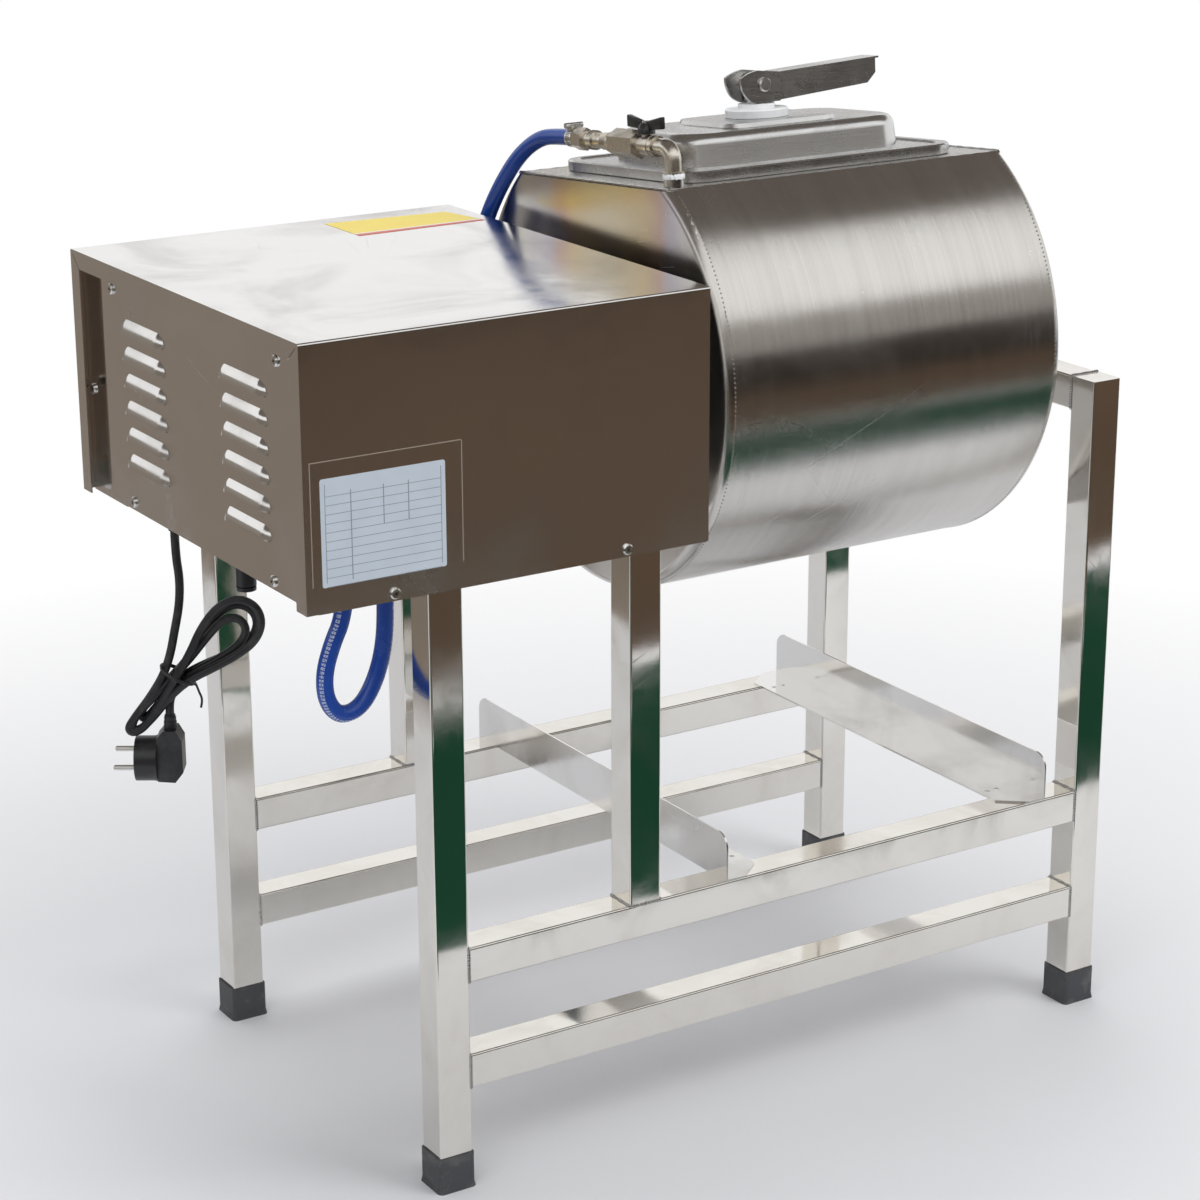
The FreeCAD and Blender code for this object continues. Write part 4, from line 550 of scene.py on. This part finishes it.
def makePlateMaterial():
    material, tree, shader, place = newMaterial("ratingPlate", 0.0, Roughness=0.35)
    parts = add(tree, "ShaderNodeSeparateXYZ", {"Vector": place}).outputs
    across = remap(tree, parts["X"], plate["x0"], plate["x1"])
    up = remap(tree, parts["Z"], plate["z0"], plate["z1"])
    row = maths(tree, "FRACT", maths(tree, "MULTIPLY", up, plate["rows"] + 1.0))
    lines = maths(tree, "LESS_THAN", row, 0.07)
    lines = maths(tree, "MULTIPLY", lines, maths(tree, "LESS_THAN", up, 0.9))
    for spot, top in ((0.035, 0.95), (0.965, 0.95), (0.24, 0.87), (0.5, 0.87), (0.7, 0.87)):
        low = 0.04 if top > 0.9 or spot < 0.3 else 0.5
        mark = maths(tree, "COMPARE", across, spot, 0.004)
        inside = maths(tree, "MULTIPLY", maths(tree, "GREATER_THAN", up, low),
                       maths(tree, "LESS_THAN", up, top))
        lines = maths(tree, "MAXIMUM", lines, maths(tree, "MULTIPLY", mark, inside))
    inside = maths(tree, "MULTIPLY", maths(tree, "GREATER_THAN", across, 0.033),
                   maths(tree, "LESS_THAN", across, 0.967))
    lines = maths(tree, "MULTIPLY", lines, inside)
    tone = mixColour(tree, noiseAt(tree, place, 60.0), (0.50, 0.56, 0.62, 1), (0.58, 0.64, 0.70, 1))
    tone = mixColour(tree, maths(tree, "MULTIPLY", lines, 0.75), tone, (0.13, 0.15, 0.19, 1))
    tree.links.new(tone, shader.inputs["Base Color"])
    return material


def roundedSlab(name, low, high, corner, body, material):
    # thin plate on a face that looks along -Y
    bm = bmesh.new()
    addBox(bm, low, high)
    edges = [edge for edge in bm.edges if abs((edge.verts[0].co - edge.verts[1].co).normalized().y) > 0.9]
    bmesh.ops.bevel(bm, geom=edges, offset=corner, segments=5, profile=0.5, affect="EDGES", material=-1)
    return finishMesh(bm, name, body, material)


roundedSlab("ratingPlate", (plate["x0"], plate["face"] - 0.0003, plate["z0"]),
            (plate["x1"], plate["face"] + 0.0001, plate["z1"]), 0.002, "stand",
            makePlateMaterial())

film = {"x0": -0.3935, "x1": -0.2641, "z0": 0.5385, "z1": 0.6345, "line": 0.0008}
filmMaterial = plastic("filmEdge", (0.30, 0.25, 0.20), 0.3, 300.0)
bm = bmesh.new()
for low, high in (((film["x0"], film["z1"]), (film["x1"], film["z1"] + film["line"])),
                  ((film["x1"], film["z0"]), (film["x1"] + film["line"], film["z1"])),
                  ((film["x0"], film["z0"]), (film["x0"] + film["line"], film["z1"]))):
    addBox(bm, (low[0], plate["face"] - 0.00012, low[1]), (high[0], plate["face"] + 0.0001, high[1]))
finishMesh(bm, "filmEdge", "stand", filmMaterial, smooth=False)

label = {"corners": [(-0.1711, 0.1836), (-0.0561, 0.1746), (-0.0456, 0.1226), (-0.1711, 0.1196)],
         "top": 0.7260, "thick": 0.00025, "band": 0.1270, "edge": 0.003}
labelMaterial, tree, shader, place = newMaterial("yellowLabel", 0.0, Roughness=0.32)
across = add(tree, "ShaderNodeSeparateXYZ", {"Vector": place}).outputs["Y"]
tone = mixColour(tree, noiseAt(tree, place, 40.0), (0.83, 0.63, 0.03, 1), (0.90, 0.70, 0.05, 1))
whiteUpTo = label["band"] + label["edge"]
tone = mixColour(tree, maths(tree, "LESS_THAN", across, whiteUpTo), tone, (0.84, 0.82, 0.78, 1))
tone = mixColour(tree, maths(tree, "LESS_THAN", across, label["band"]), tone, (0.62, 0.09, 0.05, 1))
tree.links.new(tone, shader.inputs["Base Color"])
bm = bmesh.new()
bmesh.ops.create_grid(bm, x_segments=1, y_segments=1, size=0.1)
for vert in bm.verts:
    index = (0 if vert.co.x < 0 else 1) if vert.co.y > 0 else (3 if vert.co.x < 0 else 2)
    vert.co = Vector((*label["corners"][index], label["top"]))
raised = bmesh.ops.extrude_face_region(bm, geom=bm.faces[:])["geom"]
raised = [part for part in raised if isinstance(part, bmesh.types.BMVert)]
bmesh.ops.translate(bm, vec=(0, 0, label["thick"]), verts=raised)
finishMesh(bm, "yellowLabel", "stand", labelMaterial, smooth=False)

# screws with domed heads; each cross recess is a black cross on the dome, painted shade in place of a cut
# recess
screws = {"head": 0.0046, "tall": 0.0022, "recess": 0.0021, "slot": 0.0009,
          "left": -0.3976, "leftSpots": [(-0.1739, 0.7058), (0.1261, 0.7058), (-0.1564, 0.53),
                                         (0.1016, 0.53)],
          "near": -0.2134, "far": 0.2056, "low": 0.5228, "lowSpots": [-0.3241, -0.1141],
          "post": (-0.3893, 0.1935, 0.6067)}
spots = [((screws["left"], y, z), (-1, 0, 0)) for y, z in screws["leftSpots"]]
spots += [((x, screws["near"], screws["low"]), (0, -1, 0)) for x in screws["lowSpots"]]
spots += [((x, screws["far"], screws["low"]), (0, 1, 0)) for x in screws["lowSpots"]]
spots.append((screws["post"], (-1, 0, 0)))
domeMesh, recessShadeMesh = bmesh.new(), bmesh.new()
for place, axis in spots:
    head, tall = screws["head"], screws["tall"]
    addTurned(domeMesh, [(head, -0.0002), (head, tall * 0.35), (head * 0.86, tall * 0.75),
                         (head * 0.55, tall * 0.94), (0.0, tall * 0.985)], place, axis)
    turn = Vector((0, 0, 1)).rotation_difference(Vector(axis)).to_matrix().to_4x4()
    seat = Matrix.Translation(place) @ turn @ Matrix.Rotation(0.6 + place[1] * 20, 4, "Z")
    # black cross boxes: painted shade of the recess
    for size in ((screws["recess"], screws["slot"] / 2), (screws["slot"] / 2, screws["recess"])):
        addBox(recessShadeMesh, (-size[0], -size[1], tall * 0.6), (size[0], size[1], tall), 0.0, seat)
finishMesh(domeMesh, "screwHeads", "stand", materials["zinc_hardware"])
finishMesh(recessShadeMesh, "screwRecessShade", "stand", materials["needle_black"], smooth=False)

# valve: white sealing tape, butterfly handle with its screw
valve = {"x": 0.0049, "y": -0.1093, "z": 0.1885, "stem": -0.071, "low": 0.1980, "wing": 0.0255,
         "tape": 0.1635, "layer": 0.0009}
bm = bmesh.new()
for turnIndex in range(3):
    low = valve["tape"] + turnIndex * valve["layer"]
    addTurned(bm, [(0.0070, low - 0.0005), (0.0089 + turnIndex * 0.0002, low), (0.0090, low + 0.0016),
                   (0.0086, low + 0.0024), (0.0070, low + 0.0027)],
              (valve["x"], valve["y"], 0), (0, 0, 1), 40)
for vert in bm.verts:
    vert.co += Vector((vert.co.x - valve["x"], vert.co.y - valve["y"], 0)) * 0.05 * math.sin(vert.co.y * 2600)
    vert.co.z += 0.0005 * math.sin(vert.co.x * 1900)
bmesh.ops.transform(bm, matrix=drumFrame, verts=bm.verts)
finishMesh(bm, "sealingTape", "drum", materials["white_nylon"])

bm = bmesh.new()
x, y, low = valve["x"], valve["stem"], valve["low"]
for side in (-1, 1):
    root, tip = y + side * 0.002, y + side * valve["wing"]
    made = addBox(bm, (x - 0.0024, min(root, tip), low + 0.0032),
                  (x + 0.0024, max(root, tip), low + 0.0150), 0.0011)
    for vert in made:
        reach = abs(vert.co.y - y) / valve["wing"]
        if vert.co.z < low + 0.008:
            vert.co.z += 0.0016 * reach
        else:
            vert.co.z -= 0.0050 * (1 - reach)
        vert.co.x = x + (vert.co.x - x) * (0.72 + 0.35 * reach)
addTurned(bm, [(0.0, 0.0), (0.0074, 0.0), (0.0075, 0.003), (0.0066, 0.0062), (0.0050, 0.0082),
               (0.0046, 0.0090), (0.0, 0.0091)], (x, y, low), (0, 0, 1))
bmesh.ops.transform(bm, matrix=drumFrame, verts=bm.verts)
handle = finishMesh(bm, "butterflyHandle", "valve_stem", materials["black_plastic"])
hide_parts("valve_handle")
bm = bmesh.new()
addTurned(bm, [(0.0032, 0.0085), (0.0032, 0.0100), (0.0024, 0.0108), (0.0, 0.0110)], (x, y, low), (0, 0, 1))
bmesh.ops.transform(bm, matrix=drumFrame, verts=bm.verts)
finishMesh(bm, "handleScrew", "valve_stem", materials["zinc_hardware"])

# thread ridges on the hose tail: (count, start, step, profile)
threads = [(8, -0.0175, 0.0014, [(0.0064, 0), (0.0074, 0.0005), (0.0064, 0.0010)]),
           (3, 0.0066, 0.0024, [(0.0078, 0), (0.0084, 0.0008), (0.0078, 0.0016)])]
bm = bmesh.new()
for count, start, step, profile in threads:
    for i in range(count):
        addTurned(bm, profile, (valve["x"], start + i * step, valve["z"]), (0, 1, 0), 28)
bmesh.ops.transform(bm, matrix=drumFrame, verts=bm.verts)
finishMesh(bm, "tailThreads", "drum", materials["nickel_brass"])

# hose clamp: black marks for the slots in the band, painted shade in place of cut slots, apart from where its
# screw is
clamp = {"y": 0.0425, "slots": 30, "under": 0.00785, "over": 0.00808, "long": 0.003, "wide": 0.0003}
bm = bmesh.new()
for i in range(clamp["slots"]):
    angle = 2 * pi * i / clamp["slots"]
    if abs(math.cos(angle - pi / 2) - 1) < 0.25:
        continue
    spot = Matrix.Translation((valve["x"], clamp["y"], valve["z"])) @ Matrix.Rotation(angle, 4, "Y")
    addBox(bm, (clamp["under"], -clamp["long"], -clamp["wide"]),
           (clamp["over"], clamp["long"], clamp["wide"]), 0.0, spot)
bmesh.ops.transform(bm, matrix=drumFrame, verts=bm.verts)
finishMesh(bm, "clampSlotShade", "drum", materials["needle_black"], smooth=False)

# cord tie round the hank
tie = {"radius": 0.0010, "wide": 0.0145, "deep": 0.0150, "perTurn": 12, "points": 25, "z": 366, "slope": 0.55}
tiePoints = []
for i in range(tie["points"]):
    angle = 2 * pi * i / tie["perTurn"]
    s = tie["wide"] * 1000 * math.cos(angle) - 3
    back = tie["deep"] * 1000 * math.sin(angle)
    tiePoints += inHank([(s, tie["z"] - s * tie["slope"] + i * 0.12)], back)
tiePoints += inHank([(14, 352), (17, 345), (15, 338)], 3)
tubeAlong("cordTie", millimetres(tiePoints), tie["radius"], "stand",
          materials["black_cord"], 4)

# plug: metal pins and black housing, in one material over the CAD solid
pinStart = -0.0421
plugMaterial, tree, shader, place = newMaterial("plugAndPins", 0.0, Roughness=0.34)
fromOrigin = add(tree, "ShaderNodeVectorMath", {0: place, 1: lead["origin"] / 1000},
                 operation="SUBTRACT").outputs[0]
along = add(tree, "ShaderNodeVectorMath", {0: fromOrigin, 1: lead["right"]},
            operation="DOT_PRODUCT").outputs["Value"]
pins = maths(tree, "LESS_THAN", along, pinStart)
tree.links.new(pins, shader.inputs["Metallic"])
surface = placeGroup(tree, moulded, {"Vector": place, "Scale": 1500.0})
tone = mixColour(tree, maths(tree, "MULTIPLY", surface["Dust"], 0.12), (0.018, 0.018, 0.02, 1),
                 (0.3, 0.29, 0.28, 1))
tree.links.new(mixColour(tree, pins, tone, (0.78, 0.77, 0.74, 1)), shader.inputs["Base Color"])
bump(tree, shader, surface["Grain"], 0.05, 0.0005)
nodes["plug"].material_slots[0].material = plugMaterial

# far side: dial, glass, bezels and marks
dial = {"x": -0.3021, "z": 0.640, "plate": 0.2092, "radius": 0.0236, "glass": 0.2146, "glassRadius": 0.0238,
        "start": 225, "sweep": 270, "ticks": 50, "tickEnd": 0.0212, "numberRadius": 0.0138,
        "numberSize": 0.0042}
dialMaterial = plastic("dialWhite", (0.84, 0.85, 0.85), 0.35, 700.0, 0.08)
glassMaterial, tree, shader, place = newMaterial("gaugeGlass", 0.0, Roughness=0.04, Transmission_Weight=1.0)
tree.links.new(mixColour(tree, noiseAt(tree, place, 90.0), (0.96, 0.97, 0.97, 1), (1, 1, 1, 1)),
               shader.inputs["Base Color"])
bm = bmesh.new()
addTurned(bm, [(0.0018, -0.0001), (0.0018, 0.0003), (dial["radius"], 0.0003), (dial["radius"], -0.0001)],
          (dial["x"], dial["plate"], dial["z"]), (0, 1, 0), 48)
finishMesh(bm, "dialFace", "stand", dialMaterial)
bm = bmesh.new()
addTurned(bm, [(0.0, -0.0006), (dial["glassRadius"], -0.0006), (dial["glassRadius"], 0.0003),
               (0.019, 0.0006), (0.0, 0.0007)], (dial["x"], dial["glass"], dial["z"]), (0, 1, 0), 48)
finishMesh(bm, "gaugeGlass", "stand", glassMaterial)
bm = bmesh.new()
for i in range(dial["ticks"] + 1):
    angle = math.radians(dial["start"] - i * dial["sweep"] / dial["ticks"])
    inner = 0.0168 if i % 10 == 0 else (0.0182 if i % 5 == 0 else 0.0194)
    half = 0.00035 if i % 10 == 0 else 0.00018
    spot = Matrix.Translation((dial["x"], dial["plate"], dial["z"])) @ Matrix.Rotation(-angle + pi, 4, "Y")
    addBox(bm, (inner, 0.0002, -half), (dial["tickEnd"], 0.0005, half), 0.0, spot)
finishMesh(bm, "dialTicks", "stand", materials["needle_black"], smooth=False)
facing = Matrix.Rotation(pi, 4, "Z") @ Matrix.Rotation(pi / 2, 4, "X")
for i in range(6):
    angle = math.radians(dial["start"] - i * dial["sweep"] / 5)
    spot = Vector((dial["x"] - dial["numberRadius"] * math.cos(angle), dial["plate"] + 0.0004,
                   dial["z"] + dial["numberRadius"] * math.sin(angle)))
    letter("dialNumber" + str(i), str(i * 20), dial["numberSize"], spot, facing, "stand",
           materials["needle_black"], 0.0001)

# panel marks, rings of the two buttons, bezel of the gauge, frames of the display and the switch
panel = {"face": 0.2071, "start": -0.2501, "stop": -0.2201, "buttonZ": 0.622, "markZ": 0.6355,
         "markSize": 0.0058,
         "ring": [(0.0094, -0.0002), (0.0094, 0.0014), (0.0104, 0.0019), (0.0114, 0.0014), (0.0117, -0.0002)],
         "bezel": [(0.0238, 0.0), (0.0238, 0.0058), (0.0246, 0.0064), (0.0262, 0.0064), (0.0270, 0.0054)]}
for name, text, x in (("startMark", "ON", panel["start"]), ("stopMark", "OFF", panel["stop"])):
    letter(name, text, panel["markSize"], Vector((x, panel["face"] + 0.0001, panel["markZ"])), facing,
           "stand", materials["needle_black"], 0.0001)
bm = bmesh.new()
for x in (panel["start"], panel["stop"]):
    addTurned(bm, panel["ring"], (x, panel["face"], panel["buttonZ"]), (0, 1, 0), 40)
finishMesh(bm, "buttonRings", "stand", materials["zinc_hardware"])
bm = bmesh.new()
addTurned(bm, panel["bezel"], (dial["x"], 0.2091, dial["z"]), (0, 1, 0), 64)
finishMesh(bm, "gaugeBezel", "stand", materials["gauge_steel"])
bm = bmesh.new()
for low, high in (((-0.1917, 0.6515), (-0.1725, 0.6535)), ((-0.1917, 0.6185), (-0.1725, 0.6205)),
                  ((-0.1925, 0.6185), (-0.1905, 0.6535)), ((-0.1737, 0.6185), (-0.1717, 0.6535)),
                  ((-0.2631, 0.6785), (-0.2011, 0.6807)), ((-0.2631, 0.6513), (-0.2011, 0.6535)),
                  ((-0.2631, 0.6513), (-0.2609, 0.6807)), ((-0.2033, 0.6513), (-0.2011, 0.6807))):
    addBox(bm, (low[0], 0.2069, low[1]), (high[0], 0.2082, high[1]), 0.0004)
finishMesh(bm, "panelFrames", "stand", materials["black_plastic"])
for name, text, spot in (("rockerOn", "I", (-0.1821, 0.2101, 0.6420)),
                         ("rockerOff", "O", (-0.1821, 0.2082, 0.6300))):
    letter(name, text, 0.0062, Vector(spot), facing, "rocker", materials["white_nylon"])
print("small pieces made")


# floor, backdrop and lights
stage = {"floor": 14.0, "edge": 0.45, "fade": 1.5, "roughness": 0.6}


def makeFloorMaterial():
    material, tree, shader, place = newMaterial("paleFloor")
    out = tree.nodes["Material Output"]
    shader.inputs["Roughness"].default_value = stage["roughness"]
    tone = mixColour(tree, noiseAt(tree, place, 3.0, 4.0), (0.84, 0.84, 0.855, 1), (0.88, 0.88, 0.895, 1))
    tree.links.new(tone, shader.inputs["Base Color"])
    reach = add(tree, "ShaderNodeVectorMath", {0: place}, operation="LENGTH").outputs["Value"]
    far = remap(tree, reach, stage["edge"], stage["fade"])
    rays = add(tree, "ShaderNodeLightPath").outputs
    seen = maths(tree, "MINIMUM", maths(tree, "ADD", rays["Is Camera Ray"], rays["Is Transmission Ray"]), 1.0)
    glow = add(tree, "ShaderNodeEmission", {"Color": (1, 1, 1, 1), "Strength": 1.0})
    blend = add(tree, "ShaderNodeMixShader", {"Fac": maths(tree, "MULTIPLY", far, seen), 1: shader.outputs[0],
                                              2: glow.outputs[0]})
    tree.links.new(blend.outputs[0], out.inputs["Surface"])
    return material


def addPlane(name, corners, material):
    bm = bmesh.new()
    bmesh.ops.create_grid(bm, x_segments=1, y_segments=1, size=1.0)
    low, high = Vector(corners[0]), Vector(corners[1])
    for vert in bm.verts:
        mix = Vector(((vert.co.x + 1) / 2, (vert.co.y + 1) / 2, 0))
        if abs(high.z - low.z) < 1e-6:
            vert.co = Vector((low.x + (high.x - low.x) * mix.x, low.y + (high.y - low.y) * mix.y, low.z))
        else:
            vert.co = Vector((low.x + (high.x - low.x) * mix.x, low.y + (high.y - low.y) * mix.x,
                              low.z + (high.z - low.z) * mix.y))
    mesh = bpy.data.meshes.new(name)
    bm.to_mesh(mesh)
    bm.free()
    mesh.materials.append(material)
    plane = bpy.data.objects.new(name, mesh)
    bpy.context.scene.collection.objects.link(plane)
    return plane


half = stage["floor"] / 2
addPlane("floor", ((-half, -half, 0), (half, half, 0)), makeFloorMaterial())

# what the polished steel mirrors, seen in glossy rays only: floor, walls, a broad window and the ceiling
mirrored = [
    ("greenMat", (-4.5, -1.22, 0.004), (4.5, -0.62, 0.004), (0.012, 0.055, 0.030), 1.0),
    ("brownFloor", (-4.5, -3.3, 0.003), (4.5, -1.28, 0.003), (0.105, 0.072, 0.050), 1.0),
    ("darkWall", (-5.5, -3.3, 0.0), (6.0, -3.3, 1.10), (0.035, 0.027, 0.022), 1.0),
    ("paleWall", (-5.5, -3.31, 1.10), (6.0, -3.31, 2.20), (0.36, 0.34, 0.32), 1.0),
    ("windowLight", (-4.5, -3.0, 2.25), (5.0, -1.20, 2.25), (1.0, 1.0, 1.0), 1.3),
    ("ceiling", (-4.5, -1.1, 3.0), (5.0, 4.2, 3.0), (0.15, 0.13, 0.115), 1.0),
    ("backWall", (-5.5, 3.6, 0.0), (4.5, 3.6, 1.05), (0.26, 0.23, 0.20), 1.0),
    ("leftFloor", (-3.6, 0.75, 0.003), (-0.85, 3.6, 0.003), (0.24, 0.20, 0.165), 1.0),
    ("leftWall", (-3.7, -2.4, 0.0), (-3.7, 3.6, 1.5), (0.20, 0.175, 0.15), 1.0),
]
for name, low, high, colour, strength in mirrored:
    material = bpy.data.materials.new(name)
    material.use_nodes = True
    tree = material.node_tree
    tree.nodes.remove(tree.nodes["Principled BSDF"])
    place = tree.nodes.new("ShaderNodeTexCoord").outputs["Object"]
    shade = mixColour(tree, noiseAt(tree, place, 1.2, 3.0), (*[c * 0.7 for c in colour], 1),
                      (*[min(1, c * 1.3) for c in colour], 1))
    glow = add(tree, "ShaderNodeEmission", {"Color": shade, "Strength": strength})
    tree.links.new(glow.outputs[0], tree.nodes["Material Output"].inputs["Surface"])
    card = addPlane(name, (low, high), material)
    for kind in ("camera", "diffuse", "transmission", "shadow", "volume_scatter"):
        setattr(card, "visible_" + kind, False)

world = bpy.data.worlds.new("studio")
bpy.context.scene.world = world
world.use_nodes = True
tree = world.node_tree
sky = tree.nodes["Background"]
rays = add(tree, "ShaderNodeLightPath").outputs
seen = maths(tree, "ADD", maths(tree, "ADD", rays["Is Camera Ray"], rays["Is Glossy Ray"]),
             rays["Is Transmission Ray"])
seen = maths(tree, "MINIMUM", seen, 1.0)
tree.links.new(maths(tree, "MULTIPLY_ADD", seen, 0.45, 0.55), sky.inputs["Strength"])
blank = mixColour(tree, seen, (0.94, 0.96, 1.0, 1), (1, 1, 1, 1))
tree.links.new(blank, sky.inputs["Color"])

lamps = [
    ("keyLight", (1.5, -2.3, 2.6), 34.0, 1.6),
    ("fillLight", (-2.4, -1.6, 2.2), 16.0, 1.8),
    ("topLight", (0.2, 0.8, 3.0), 26.0, 2.2),
]
for name, place, power, size in lamps:
    data = bpy.data.lights.new(name, "AREA")
    data.energy = power
    data.shape = "SQUARE"
    data.size = size
    lamp = bpy.data.objects.new(name, data)
    bpy.context.scene.collection.objects.link(lamp)
    lamp.location = place
    lamp.rotation_euler = (Vector((0, 0, 0.5)) - Vector(place)).to_track_quat("-Z", "Y").to_euler()
    lamp.visible_glossy = False
print("stage and lights set")
